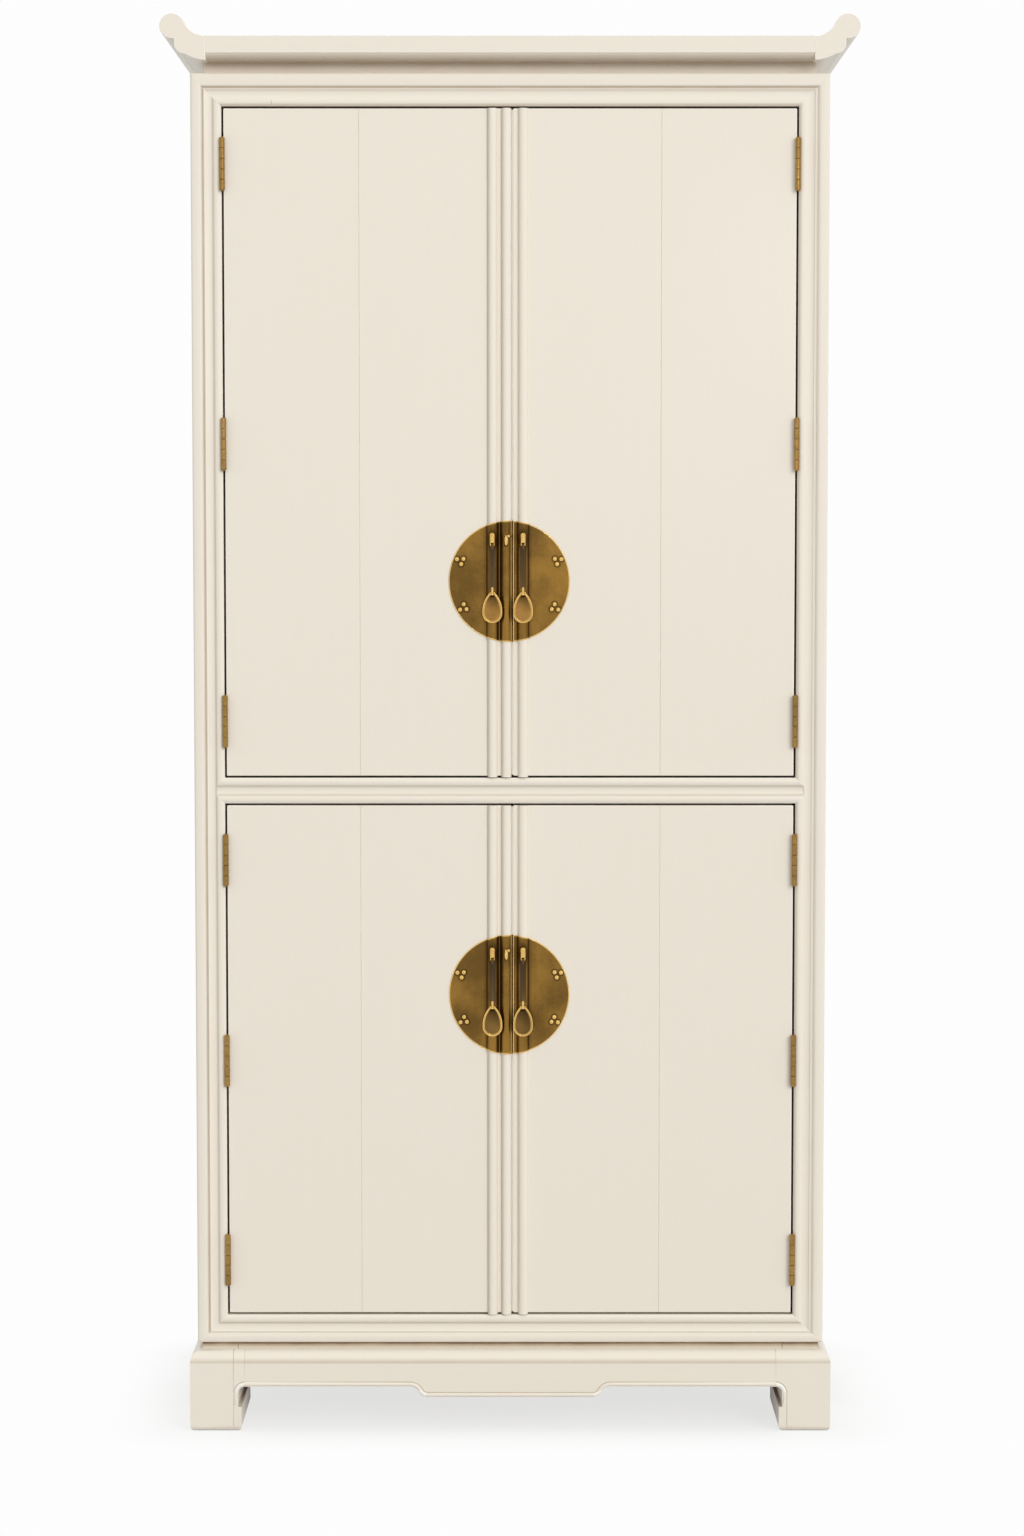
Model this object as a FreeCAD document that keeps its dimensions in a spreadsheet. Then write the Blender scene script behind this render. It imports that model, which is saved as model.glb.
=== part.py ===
# Tall lacquered cabinet: two pairs of inset doors in one moulded frame, a scroll-ended top and hoof feet.
# Millimetres and degrees. X runs to the viewer's right, Y to the back and Z up.
# The origin is on the floor, under the middle of the cabinet.

import FreeCAD, Part
import math
import os
import Sketcher

# Driving sizes: name, value and what it measures.
SIZES = [
    ("carcass_width", 936, "width over the two stiles"),
    ("carcass_depth", 500, "face of the frame to the back of the carcass"),
    ("base_height", 122, "floor to the top of the bracket base"),
    ("base_neck_height", 10, "recessed strip between base and carcass"),
    ("lower_opening_height", 768, "clear height of the lower opening"),
    ("upper_opening_height", 985, "clear height of the upper opening"),
    ("top_neck_height", 17, "recessed strip between carcass and top"),
    ("top_board_thickness", 35, "top board"),
    ("stile_band", 15, "flat outer band of the stiles"),
    ("top_rail_band", 18, "flat outer band of the top rail"),
    ("bottom_rail_band", 12, "flat outer band of the bottom rail"),
    ("middle_hollow", 13, "hollow between the middle rail's two rolls"),
    ("frame_backset", 2, "back of the frame behind the backs of the doors"),
    ("frame_proud", 4, "frame face in front of the door faces"),
    ("side_thickness", 20, "side panels"),
    ("deck_thickness", 20, "carcass top, bottom and middle deck"),
    ("back_thickness", 8, "back panel"),
    ("roll_width", 12.5, "convex roll beside each opening"),
    ("roll_base", 0.5, "foot of the roll in front of the door faces"),
    ("roll_height", 3, "rise of the roll above its foot"),
    ("cove_width", 12, "hollow outside the roll"),
    ("cove_depth", 1.7, "hollow below the foot of the roll"),
    ("ridge_height", 1.5, "ridge outside the hollow, above the foot of the roll"),
    ("quirk_width", 5.5, "V groove between ridge and outer band"),
    ("band_crown", 0.6, "swell of the outer band"),
    ("band_corner", 4, "rounding of the carcass edge"),
    ("base_overhang", 11, "base beyond the carcass at the front and sides"),
    ("shoulder_height", 18, "rounded shoulder on top of the base"),
    ("shoulder_inset", 15, "how far the shoulder draws in"),
    ("shoulder_bow", 4.2, "swell of the shoulder over its chord"),
    ("foot_width", 82, "foot from its outside to the joint with the front apron"),
    ("side_apron_length", 151, "side apron between the front and rear feet"),
    ("foot_curve", 10, "curve between foot and apron"),
    ("foot_corner", 8, "rounding of the foot at the floor"),
    ("hoof_height", 37, "height of the hoof's ledge"),
    ("hoof_ledge", 5, "step of the hoof beyond the leg"),
    ("apron_rise", 68, "floor to the apron's lower edge"),
    ("apron_drop", 16, "depth of the apron's middle drop"),
    ("apron_drop_width", 248, "flat width of the middle drop"),
    ("apron_drop_slope", 26, "width of the curve at each end of the drop"),
    ("apron_drop_bow", 2.1, "swell of that curve, first hollow and then round"),
    ("apron_backing", 7, "apron behind the top edge of the shoulder"),
    ("base_neck_inset", 6.5, "base neck behind the carcass faces"),
    ("neck_rail_width", 60, "width of the neck frames' members"),
    ("top_neck_inset", 19, "top neck behind the carcass faces"),
    ("top_front_overhang", 14, "top board in front of the frame face"),
    ("top_band_height", 25, "flat band on the top's front edge"),
    ("top_fillet", 1.8, "step under the band"),
    ("top_ovolo_reach", 17, "run of the curve under the band"),
    ("top_ovolo_bow", 2.8, "swell of that curve over its chord"),
    ("scroll_joint_inset", 24, "joint of board and scroll inside the carcass side"),
    ("scroll_radius", 18.4, "round head of the scroll"),
    ("scroll_reach", 24.5, "centre of the head outside the carcass side"),
    ("scroll_rise", 13.8, "centre of the head above the top board"),
    ("scroll_crown_angle", 28, "where the head meets the hollow, above its centre's level"),
    ("scroll_tuck_angle", 9, "where the head ends below, inside its centre's plumb line"),
    ("scroll_step", 5, "step between the head and the belly under it"),
    ("scroll_belly_run", 17.5, "start of the belly inside the head's centre"),
    ("scroll_belly_rise", 8.7, "start of the belly above the underside"),
    ("scroll_belly_bow", 5, "swell of the belly"),
    ("scroll_throat_bow", 1.2, "swell of the underside before the belly"),
    ("scroll_hollow_bow", 4.6, "depth of the hollow behind the head"),
    ("scroll_root", 5, "flat of the scroll beside its joint with the board"),
    ("meeting_gap", 2.5, "gap between the doors of a pair"),
    ("meeting_offset", 3, "meeting line to the right of the middle"),
    ("door_thickness", 20, "door slabs"),
    ("seam_offset", 222, "board joint of a door from the middle"),
    ("seam_width", 1.2, "V groove along the board joint"),
    ("seam_depth", 0.8, "depth of that groove"),
    ("reed_width", 15, "half-round reeds"),
    ("reed_height", 6.5, "rise of a reed from the door face"),
    ("reed_gap", 5.5, "flat between the two reeds of a left door"),
    ("reed_overhang", 2, "reeds past the door's lower edge, over the gap"),
    ("reed_margin", 7.3, "flat between a right door's meeting edge and its reed"),
    ("hinge_length", 76, "butt hinges"),
    ("hinge_end_offset", 84, "outer hinges' centres from the opening's ends"),
    ("knuckle_radius", 4, "hinge barrel"),
    ("knuckle_standoff", 1.5, "hinge barrel in front of the door faces"),
    ("knuckle_gap", 0.4, "end play between knuckles"),
    ("hinge_pin_radius", 1.6, "hinge pin"),
    ("pin_head_radius", 2.8, "button on each end of a hinge pin"),
    ("pin_head_height", 2, "height of that button"),
    ("pin_clearance", 0.05, "running fit of every pin"),
    ("leaf_thickness", 1.3, "hinge leaves"),
    ("leaf_gap", 0.4, "gap between closed leaves; with the leaves it sets the gap round the doors"),
    ("leaf_width", 18, "hinge leaves, front to back"),
    ("leaf_relief", 0.3, "leaf behind the other leaf's knuckles"),
    ("plate_radius", 89, "round lock plates"),
    ("plate_thickness", 1.2, "sheet of the lock plates"),
    ("plate_clearance", 0.15, "lock plate over the reeds"),
    ("plate_offset", 4.5, "centre of the lock plates left of the meeting line"),
    ("upper_plate_rise", 291, "upper plate's centre above its opening's lower edge"),
    ("lower_plate_rise", 483, "lower plate's centre above its opening's lower edge"),
    ("stud_radius", 3.4, "heads of the plate nails"),
    ("stud_height", 2, "rise of those heads"),
    ("stud_circle", 75, "circle of the paired nails"),
    ("rim_stud_circle", 83.5, "circle of the single nails by the rim"),
    ("stud_spread", 3.2, "half the angle between paired nails"),
    ("upper_stud_angle", 23, "upper nail group above the plate's middle"),
    ("lower_stud_angle", 30, "lower nail group below the plate's middle"),
    ("staple_cheek", 2.3, "metal on each side of a staple's slot"),
    ("staple_height", 22, "pull staples, top to bottom"),
    ("staple_rise", 50, "staple's lower end above the plate's centre"),
    ("link_standoff", 1.3, "strap eyes in front of the plate's crest"),
    ("link_pin_radius", 1.2, "pull pivots"),
    ("link_eye_radius", 2.9, "eyes of the hanging straps"),
    ("link_eye_width", 3.4, "eyes of the hanging straps along their pins"),
    ("link_clearance", 0.4, "play beside and around those eyes"),
    ("link_lug", 0.6, "staples and pendants beyond the radius of the eyes"),
    ("strap_width", 9, "hanging straps"),
    ("strap_thickness", 2.4, "hanging straps"),
    ("strap_length", 73, "pivot to pivot of a strap"),
    ("strap_clearance", 0.8, "full width of a strap below its staple"),
    ("strap_neck", 9, "narrow end of a strap above its lower pivot"),
    ("pendant_length", 42, "lower pivot to the pendant's tip"),
    ("pendant_radius", 14.75, "round end of a pendant"),
    ("pendant_flank", 8, "angle where the round end meets the flanks"),
    ("pendant_bow", 1.2, "swell of the flanks"),
    ("pendant_ear", 1.7, "metal on each side of a pendant's hole"),
    ("pendant_thickness", 4, "pendants"),
    ("pendant_rim", 2.4, "raised rim of a pendant"),
    ("pendant_sink", 0.9, "rim above the pendant's face"),
    ("lock_ring_radius", 6.5, "lock staple's bow"),
    ("lock_wire_radius", 2.6, "lock staple's wire"),
    ("lock_rise", 60, "lock staple above the plate's centre"),
    ("shelf_thickness", 20, "adjustable shelves"),
    ("shelf_setback", 30, "shelf edge behind the face frame"),
    ("shelf_play", 1.5, "shelf clearance at the sides and back"),
    ("lower_shelf_rise", 380, "lower shelf above the carcass bottom"),
    ("middle_shelf_rise", 330, "first upper shelf above the middle deck"),
    ("upper_shelf_rise", 655, "second upper shelf above the middle deck"),
    ("shelf_pin_radius", 3, "shelf pins"),
    ("shelf_pin_depth", 10, "shelf pins inside the side panels"),
    ("shelf_pin_reach", 12, "shelf pins under the shelves"),
    ("shelf_pin_inset", 40, "shelf pins from the shelf's front and back edges"),
    ("catch_width", 40, "magnetic catches"),
    ("catch_depth", 12, "magnetic catches, front to back"),
    ("catch_drop", 14, "catch below the upper edge of its opening"),
    ("catch_offset", 45, "middle of a catch from the meeting line"),
    ("strike_width", 30, "strike plates on the doors"),
    ("strike_height", 9, "strike plates on the doors"),
    ("strike_thickness", 1.2, "strike plates on the doors"),
]

KNUCKLE_COUNT = 5
TIERS = ("upper", "lower")
SIDES = {"left": -1, "right": 1}

# Places worked out from the sizes.
HALF_WIDTH = "(size.carcass_width / 2)"
BAND_START = "(size.roll_width + size.cove_width + size.quirk_width)"
STILE_WIDTH = f"({BAND_START} + size.stile_band)"
TOP_RAIL_HEIGHT = f"({BAND_START} + size.top_rail_band)"
BOTTOM_RAIL_HEIGHT = f"({BAND_START} + size.bottom_rail_band)"
MIDDLE_RAIL_HEIGHT = "(2 * size.roll_width + size.middle_hollow)"
HALF_OPENING = f"(size.carcass_width / 2 - {STILE_WIDTH})"
HALF_INSIDE = "(size.carcass_width / 2 - size.side_thickness)"
HALF_BASE = "(size.carcass_width / 2 + size.base_overhang)"
HALF_BOARD = "(size.carcass_width / 2 - size.scroll_joint_inset)"
REAR = "((size.carcass_depth + size.top_front_overhang) / 2)"
FACE = f"({REAR} - size.carcass_depth)"
TOP_FRONT = f"({FACE} - size.top_front_overhang)"
BASE_FRONT = f"({FACE} - size.base_overhang)"
FOOT_DEPTH = f"(({REAR} - {BASE_FRONT} - size.side_apron_length) / 2)"
HALF_APRON = f"({HALF_BASE} - size.foot_width)"
APRON_THICKNESS = "(size.shoulder_inset + size.apron_backing)"
DOOR_FACE = f"({FACE} + size.frame_proud)"
DOOR_REAR = f"({DOOR_FACE} + size.door_thickness)"
INSIDE_FRONT = f"({DOOR_REAR} + size.frame_backset)"
INSIDE_REAR = f"({REAR} - size.back_thickness)"
FRAME_REAR = "(-size.door_thickness - size.frame_backset)"
SHELF_FRONT = f"({INSIDE_FRONT} + size.shelf_setback)"
SHELF_REAR = f"({INSIDE_REAR} - size.shelf_play)"
CARCASS_LOW = "(size.base_height + size.base_neck_height)"
LOWER_SILL = f"({CARCASS_LOW} + {BOTTOM_RAIL_HEIGHT})"
LOWER_HEAD = f"({LOWER_SILL} + size.lower_opening_height)"
UPPER_SILL = f"({LOWER_HEAD} + {MIDDLE_RAIL_HEIGHT})"
UPPER_HEAD = f"({UPPER_SILL} + size.upper_opening_height)"
CARCASS_HIGH = f"({UPPER_HEAD} + {TOP_RAIL_HEIGHT})"
BOARD_LOW = f"({CARCASS_HIGH} + size.top_neck_height)"
BOARD_HIGH = f"({BOARD_LOW} + size.top_board_thickness)"
SILL = {"upper": UPPER_SILL, "lower": LOWER_SILL}
HEAD = {"upper": UPPER_HEAD, "lower": LOWER_HEAD}
PLATE_Z = {tier: f"({SILL[tier]} + size.{tier}_plate_rise)" for tier in TIERS}
PLATE_X = "(size.meeting_offset - size.plate_offset)"
REED_RADIUS = "(((size.reed_width / 2) ^ 2 + size.reed_height ^ 2) / (2 * size.reed_height))"
REED_AXIS_Y = f"({DOOR_FACE} - size.reed_height + {REED_RADIUS})"
HOLLOW_RADIUS = f"({REED_RADIUS} + size.plate_clearance)"
RIDGE_RADIUS = f"({HOLLOW_RADIUS} + size.plate_thickness)"
PLATE_CREST = f"({DOOR_FACE} - size.reed_height - size.plate_clearance - size.plate_thickness)"
LINK_AXIS_Y = f"({PLATE_CREST} - size.link_standoff - size.link_eye_radius)"
LUG_RADIUS = "(size.link_eye_radius + size.link_lug)"
SLOT_WIDTH = "(size.link_eye_width + 2 * size.link_clearance)"
STAPLE_WIDTH = f"({SLOT_WIDTH} + 2 * size.staple_cheek)"
PENDANT_HOLE = "(sqrt(size.link_eye_radius ^ 2 + (size.link_eye_width / 2) ^ 2) + size.link_clearance)"
INNER_REED_X = "(size.meeting_offset - (size.meeting_gap + size.reed_width) / 2)"
REED_X = {
    "left": [f"({INNER_REED_X} - size.reed_width - size.reed_gap)", INNER_REED_X],
    "right": ["(size.meeting_offset + (size.meeting_gap + size.reed_width) / 2 + size.reed_margin)"],
}
KNUCKLE_LENGTH = f"((size.hinge_length - {KNUCKLE_COUNT - 1} * size.knuckle_gap) / {KNUCKLE_COUNT})"
DOOR_GAP = "(2 * size.leaf_thickness + size.leaf_gap)"
DOOR_LEFT_EDGE = {
    "left": f"({DOOR_GAP} - {HALF_OPENING})",
    "right": "(size.meeting_offset + size.meeting_gap / 2)",
}
DOOR_RIGHT_EDGE = {
    "left": "(size.meeting_offset - size.meeting_gap / 2)",
    "right": f"({HALF_OPENING} - {DOOR_GAP})",
}
ARC_MIDDLE = "(1 - cos(45deg))"

# Turns that stand a sketch or a primitive up: front view, side view and along X.
FRONT_VIEW = FreeCAD.Rotation(FreeCAD.Vector(1, 0, 0), 90)
SIDE_VIEW = FreeCAD.Rotation(FreeCAD.Vector(1, 1, 1), 120)
ALONG_X = FreeCAD.Rotation(FreeCAD.Vector(0, 1, 0), 90)
TOWARDS_FRONT = FRONT_VIEW
PLAN_VIEW = FreeCAD.Rotation()

doc = FreeCAD.newDocument("cabinet")
sheet = doc.addObject("Spreadsheet::Sheet", "size")


def fill_sheet():
    """Write each driving size with its alias and its meaning."""
    for row, (alias, value, meaning) in enumerate(SIZES, start=1):
        sheet.set(f"A{row}", meaning)
        sheet.set(f"B{row}", str(value))
        sheet.setAlias(f"B{row}", alias)
    doc.recompute()


def number(expression):
    """Present value of an expression on the sheet."""
    return float(sheet.evalExpression(expression))


def bind(item, **expressions):
    """Tie properties of an object to expressions."""
    for name, expression in expressions.items():
        item.setExpression(name, expression)
    return item


def place(item, position, turn=PLAN_VIEW):
    """Turn an object and tie its position to three expressions."""
    item.Placement = FreeCAD.Placement(FreeCAD.Vector(), turn)
    for axis, expression in zip("xyz", position):
        item.setExpression(f"Placement.Base.{axis}", expression)
    return item


def box(name, low, high):
    """Block between two corners."""
    block = doc.addObject("Part::Box", name)
    extent = [f"{end} - ({start})" for start, end in zip(low, high)]
    bind(block, Length=extent[0], Width=extent[1], Height=extent[2])
    return place(block, low)


def cylinder(name, start, radius, length, turn=PLAN_VIEW):
    """Round bar from a starting point, upright unless it is turned."""
    bar = doc.addObject("Part::Cylinder", name)
    bind(bar, Radius=radius, Height=length)
    return place(bar, start, turn)


def fuse(name, pieces):
    """Pieces joined into one solid."""
    joined = doc.addObject("Part::MultiFuse", name)
    joined.Shapes = pieces
    return joined


def cut(name, base, tool):
    """What the tool leaves of the base."""
    remainder = doc.addObject("Part::Cut", name)
    remainder.Base = base
    remainder.Tool = tool
    return remainder


def common(name, first, second):
    """What two solids share."""
    shared = doc.addObject("Part::Common", name)
    shared.Base = first
    shared.Tool = second
    return shared


def group(name, pieces):
    """Separate solids in one sub-part."""
    bundle = doc.addObject("Part::Compound", name)
    bundle.Links = pieces
    return bundle


def copy_at(name, template, position):
    """Another copy of a repeated piece."""
    copy = doc.addObject("App::Link", name)
    copy.LinkedObject = template
    return place(copy, position)


def drawn_arc(start, through, end):
    """Counter-clockwise arc geometry through three points."""
    circle = Part.Circle(start, through, end)
    centre = circle.Center
    turns_left = (through - start).cross(end - through).z > 0
    first, last = (start, end) if turns_left else (end, start)
    angles = [math.atan2(point.y - centre.y, point.x - centre.x) for point in (first, last)]
    upright = Part.Circle(centre, FreeCAD.Vector(0, 0, 1), circle.Radius)
    return Part.ArcOfCircle(upright, angles[0], angles[1])


def bow_point(start, end, rise):
    """Middle of an arc that bows to the left of the line from its start to its end."""
    run, climb = (f"({last} - ({first}))" for first, last in zip(start, end))
    span = f"sqrt({run} ^ 2 + {climb} ^ 2)"
    return (
        f"(({start[0]} + {end[0]}) / 2 - {rise} * {climb} / {span})",
        f"(({start[1]} + {end[1]}) / 2 + {rise} * {run} / {span})",
    )


def tie_point(sketch, geometry, end, point):
    """Dimension a sketch point from the sketch's origin."""
    for direction, expression in zip(("DistanceX", "DistanceY"), point):
        limit = Sketcher.Constraint(direction, -1, 1, geometry, end, number(expression))
        index = sketch.addConstraint(limit)
        sketch.setExpression(f"Constraints[{index}]", expression)


def nearest_end(sketch, geometry, target):
    """Which end of a sketch edge lies at a point."""
    gaps = {end: sketch.getPoint(geometry, end).distanceToPoint(target) for end in (1, 2)}
    return min(gaps, key=gaps.get)


def outline(name, path):
    """Closed sketch. A path point is (x, y), or (x, y, through_x, through_y) where an arc arrives."""
    sketch = doc.addObject("Sketcher::SketchObject", name)
    corners = [FreeCAD.Vector(number(point[0]), number(point[1]), 0) for point in path]
    edges = []
    for index, point in enumerate(path):
        start, end = corners[index - 1], corners[index]
        if len(point) == 4:
            through = FreeCAD.Vector(number(point[2]), number(point[3]), 0)
            edge = sketch.addGeometry(drawn_arc(start, through, end))
            mark = sketch.addGeometry(Part.Point(through), True)
            tie_point(sketch, mark, 1, point[2:])
            sketch.addConstraint(Sketcher.Constraint("PointOnObject", mark, 1, edge))
        else:
            edge = sketch.addGeometry(Part.LineSegment(start, end))
        edges.append(edge)
    for index, point in enumerate(path):
        arriving, leaving = edges[index], edges[(index + 1) % len(edges)]
        arrival = nearest_end(sketch, arriving, corners[index])
        departure = nearest_end(sketch, leaving, corners[index])
        tie_point(sketch, arriving, arrival, point[:2])
        sketch.addConstraint(Sketcher.Constraint("Coincident", arriving, arrival, leaving, departure))
    return sketch


def prism(name, view, path, start, length):
    """Outline in a view, pushed out along that view's normal."""
    sketch = outline(f"{name}_sketch", path)
    place(sketch, start, view)
    body = doc.addObject("Part::Extrusion", name)
    body.Base = sketch
    body.DirMode = "Normal"
    body.Solid = True
    return bind(body, LengthFwd=length)


def front_prism(name, path, front, rear):
    """Front-view outline between two depths."""
    return prism(name, FRONT_VIEW, path, ("0", rear, "0"), f"{rear} - ({front})")


def side_prism(name, path, left, right):
    """Side-view outline between two widths."""
    return prism(name, SIDE_VIEW, path, (left, "0", "0"), f"{right} - ({left})")


def mirrored(point):
    """Path point on the other side of the cabinet's middle."""
    return tuple(value if index % 2 else f"-({value})" for index, value in enumerate(point))


def signed(sign, expression):
    """Mirror a distance to the left side."""
    return f"-({expression})" if sign < 0 else f"({expression})"


def frame_profile(width):
    """Moulding from the opening outwards: distance from the opening, height over the door face."""
    ridge = "(size.roll_width + size.cove_width)"
    shoulder = "(size.frame_proud - size.band_crown)"
    corner = f"({width} - size.band_corner)"
    return [
        ("0", FRAME_REAR),
        ("0", "size.roll_base"),
        ("size.roll_width", "size.roll_base", "size.roll_width / 2", "size.roll_base + size.roll_height"),
        (ridge, "size.roll_base + size.ridge_height",
         "size.roll_width + size.cove_width / 2", "size.roll_base - size.cove_depth"),
        (f"{ridge} + size.quirk_width / 2", "size.roll_base"),
        (BAND_START, shoulder),
        (corner, shoulder, f"({BAND_START} + {corner}) / 2", "size.frame_proud"),
        (width, f"{shoulder} - size.band_corner",
         f"{width} - size.band_corner * {ARC_MIDDLE}", f"{shoulder} - size.band_corner * {ARC_MIDDLE}"),
        (width, FRAME_REAR),
    ]


def middle_profile():
    """Moulding of the middle rail: a hollow between two rolls, from its lower edge up."""
    width = MIDDLE_RAIL_HEIGHT
    crest = "size.roll_base + size.roll_height"
    return [
        ("0", FRAME_REAR),
        ("0", "size.roll_base"),
        ("size.roll_width", "size.roll_base", "size.roll_width / 2", crest),
        (f"{width} - size.roll_width", "size.roll_base", f"{width} / 2", "size.roll_base - size.cove_depth"),
        (width, "size.roll_base", f"{width} - size.roll_width / 2", crest),
        (width, FRAME_REAR),
    ]


def laid(profile, across, width_first):
    """Moulding profile placed in a sketch, whose first axis is the width or else the depth."""
    path = []
    for point in profile:
        laid_point = ()
        for width, height in zip(point[::2], point[1::2]):
            pair = (across(width), f"{DOOR_FACE} - ({height})")
            laid_point += pair if width_first else pair[::-1]
        path.append(laid_point)
    return path


def frame_member(name, moulding, front_outline):
    """Moulding trimmed to its mitred front outline."""
    trim = front_prism(f"{name}_trim", front_outline, FACE, INSIDE_FRONT)
    return common(name, moulding, trim)


def stile(name, sign):
    """Upright of the face frame, mitred at both ends and let in for the middle rail."""
    profile = laid(frame_profile(STILE_WIDTH), lambda u: signed(sign, f"{HALF_OPENING} + {u}"), True)
    height = f"{CARCASS_HIGH} - {CARCASS_LOW}"
    moulding = prism(f"{name}_moulding", PLAN_VIEW, profile, ("0", "0", CARCASS_LOW), height)
    edge = signed(sign, HALF_OPENING)
    knee = signed(sign, f"{HALF_OPENING} + {BAND_START}")
    seat = signed(sign, f"{HALF_OPENING} + size.roll_width")
    outside = signed(sign, HALF_WIDTH)
    return frame_member(name, moulding, [
        (edge, LOWER_SILL),
        (knee, f"{LOWER_SILL} - {BAND_START}"),
        (outside, CARCASS_LOW),
        (outside, CARCASS_HIGH),
        (knee, f"{UPPER_HEAD} + {BAND_START}"),
        (edge, UPPER_HEAD),
        (edge, UPPER_SILL),
        (seat, f"{UPPER_SILL} - size.roll_width"),
        (seat, f"{LOWER_HEAD} + size.roll_width"),
        (edge, LOWER_HEAD),
    ])


def end_rail(name, height, inner_edge, outer_edge, sign):
    """Top or bottom rail of the face frame, mitred to the stiles."""
    profile = laid(frame_profile(height), lambda u: f"{inner_edge} + {sign} * ({u})", False)
    moulding = side_prism(f"{name}_moulding", profile, f"-{HALF_WIDTH}", HALF_WIDTH)
    knee_x = f"({HALF_OPENING} + {BAND_START})"
    knee_z = f"{inner_edge} + {sign} * {BAND_START}"
    return frame_member(name, moulding, [
        (f"-{HALF_OPENING}", inner_edge),
        (HALF_OPENING, inner_edge),
        (knee_x, knee_z),
        (HALF_WIDTH, outer_edge),
        (f"-{HALF_WIDTH}", outer_edge),
        (f"-{knee_x}", knee_z),
    ])


def middle_rail():
    """Rail between the openings, with pointed ends let into the stiles."""
    profile = laid(middle_profile(), lambda u: f"{LOWER_HEAD} + {u}", False)
    moulding = side_prism("middle_rail_moulding", profile, f"-{HALF_WIDTH}", HALF_WIDTH)
    tip = f"({HALF_OPENING} + size.roll_width)"
    low, high = f"{LOWER_HEAD} + size.roll_width", f"{UPPER_SILL} - size.roll_width"
    return frame_member("middle_rail", moulding, [
        (f"-{HALF_OPENING}", LOWER_HEAD),
        (HALF_OPENING, LOWER_HEAD),
        (tip, low),
        (tip, high),
        (HALF_OPENING, UPPER_SILL),
        (f"-{HALF_OPENING}", UPPER_SILL),
        (f"-{tip}", high),
        (f"-{tip}", low),
    ])


def shoulder_path(outside, inwards):
    """Rounded shoulder of the base, from its top edge down to the flat face."""
    top = (f"({outside} + {inwards} * size.shoulder_inset)", "size.base_height")
    low = (outside, "(size.base_height - size.shoulder_height)")
    return [top, low + bow_point(top, low, f"{inwards} * -size.shoulder_bow")]


def foot_path(outside, inwards, spread, has_shoulder):
    """One face of a hoof foot, from its outside to the joint with the apron."""
    joint = f"({outside} + {inwards} * {spread})"
    leg = f"({outside} + {inwards} * ({spread} - size.foot_curve))"
    hoof = f"({outside} + {inwards} * ({spread} - size.foot_curve + size.hoof_ledge))"
    curve_low = "(size.apron_rise - size.foot_curve)"
    corner = "size.foot_corner"
    start = shoulder_path(outside, inwards) if has_shoulder else [(outside, "size.base_height")]
    return start + [
        (outside, corner),
        (f"{outside} + {inwards} * {corner}", "0",
         f"{outside} + {inwards} * {corner} * {ARC_MIDDLE}", f"{corner} * {ARC_MIDDLE}"),
        (f"{hoof} - {inwards} * {corner}", "0"),
        (hoof, corner, f"{hoof} - {inwards} * {corner} * {ARC_MIDDLE}", f"{corner} * {ARC_MIDDLE}"),
        (hoof, "size.hoof_height"),
        (leg, "size.hoof_height"),
        (leg, curve_low),
        (joint, "size.apron_rise",
         f"{leg} + {inwards} * size.foot_curve * {ARC_MIDDLE}",
         f"size.apron_rise - size.foot_curve * {ARC_MIDDLE}"),
        (joint, "size.base_height"),
    ]


def foot(name, sign, is_front):
    """Corner foot: its front and side faces, crossed."""
    front_path = foot_path(signed(sign, HALF_BASE), -sign, "size.foot_width", True)
    inner_x = signed(sign, f"{HALF_BASE} - size.foot_width")
    outer_x = signed(sign, HALF_BASE)
    left, right = (outer_x, inner_x) if sign < 0 else (inner_x, outer_x)
    outside, inwards = (BASE_FRONT, 1) if is_front else (REAR, -1)
    side_path = foot_path(outside, inwards, FOOT_DEPTH, is_front)
    joint = f"({outside} + {inwards} * {FOOT_DEPTH})"
    near, far = (outside, joint) if is_front else (joint, outside)
    return common(name,
                  front_prism(f"{name}_front", front_path, near, far),
                  side_prism(f"{name}_side", side_path, left, right))


def front_apron():
    """Front apron with a dropped middle, under the rounded shoulder."""
    slope_low = ("(size.apron_drop_width / 2)", "(size.apron_rise - size.apron_drop)")
    slope_middle = ("((size.apron_drop_width + size.apron_drop_slope) / 2)",
                    "(size.apron_rise - size.apron_drop / 2)")
    slope_high = ("(size.apron_drop_width / 2 + size.apron_drop_slope)", "size.apron_rise")
    hollow = bow_point(slope_low, slope_middle, "-size.apron_drop_bow")
    swell = bow_point(slope_middle, slope_high, "size.apron_drop_bow")
    path = [
        mirrored((HALF_APRON, "size.base_height")),
        mirrored((HALF_APRON, "size.apron_rise")),
        mirrored(slope_high),
        mirrored(slope_middle + swell),
        mirrored(slope_low + hollow),
        slope_low,
        slope_middle + hollow,
        slope_high + swell,
        (HALF_APRON, "size.apron_rise"),
        (HALF_APRON, "size.base_height"),
    ]
    rear = f"({BASE_FRONT} + {APRON_THICKNESS})"
    section = shoulder_path(BASE_FRONT, 1) + [(BASE_FRONT, "0"), (rear, "0"), (rear, "size.base_height")]
    return common("front_apron",
                  front_prism("front_apron_face", path, BASE_FRONT, rear),
                  side_prism("front_apron_section", section, f"-{HALF_APRON}", HALF_APRON))


def side_aprons():
    """Short aprons between the front and rear feet."""
    start, end = f"({BASE_FRONT} + {FOOT_DEPTH})", f"({REAR} - {FOOT_DEPTH})"
    pieces = []
    for side, sign in SIDES.items():
        outside = signed(sign, HALF_BASE)
        inside = f"({outside} - {sign} * {APRON_THICKNESS})"
        section = shoulder_path(outside, -sign) + [
            (outside, "size.apron_rise"),
            (inside, "size.apron_rise"),
            (inside, "size.base_height"),
        ]
        pieces.append(front_prism(f"{side}_apron", section, start, end))
    return group("side_aprons", pieces)


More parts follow.
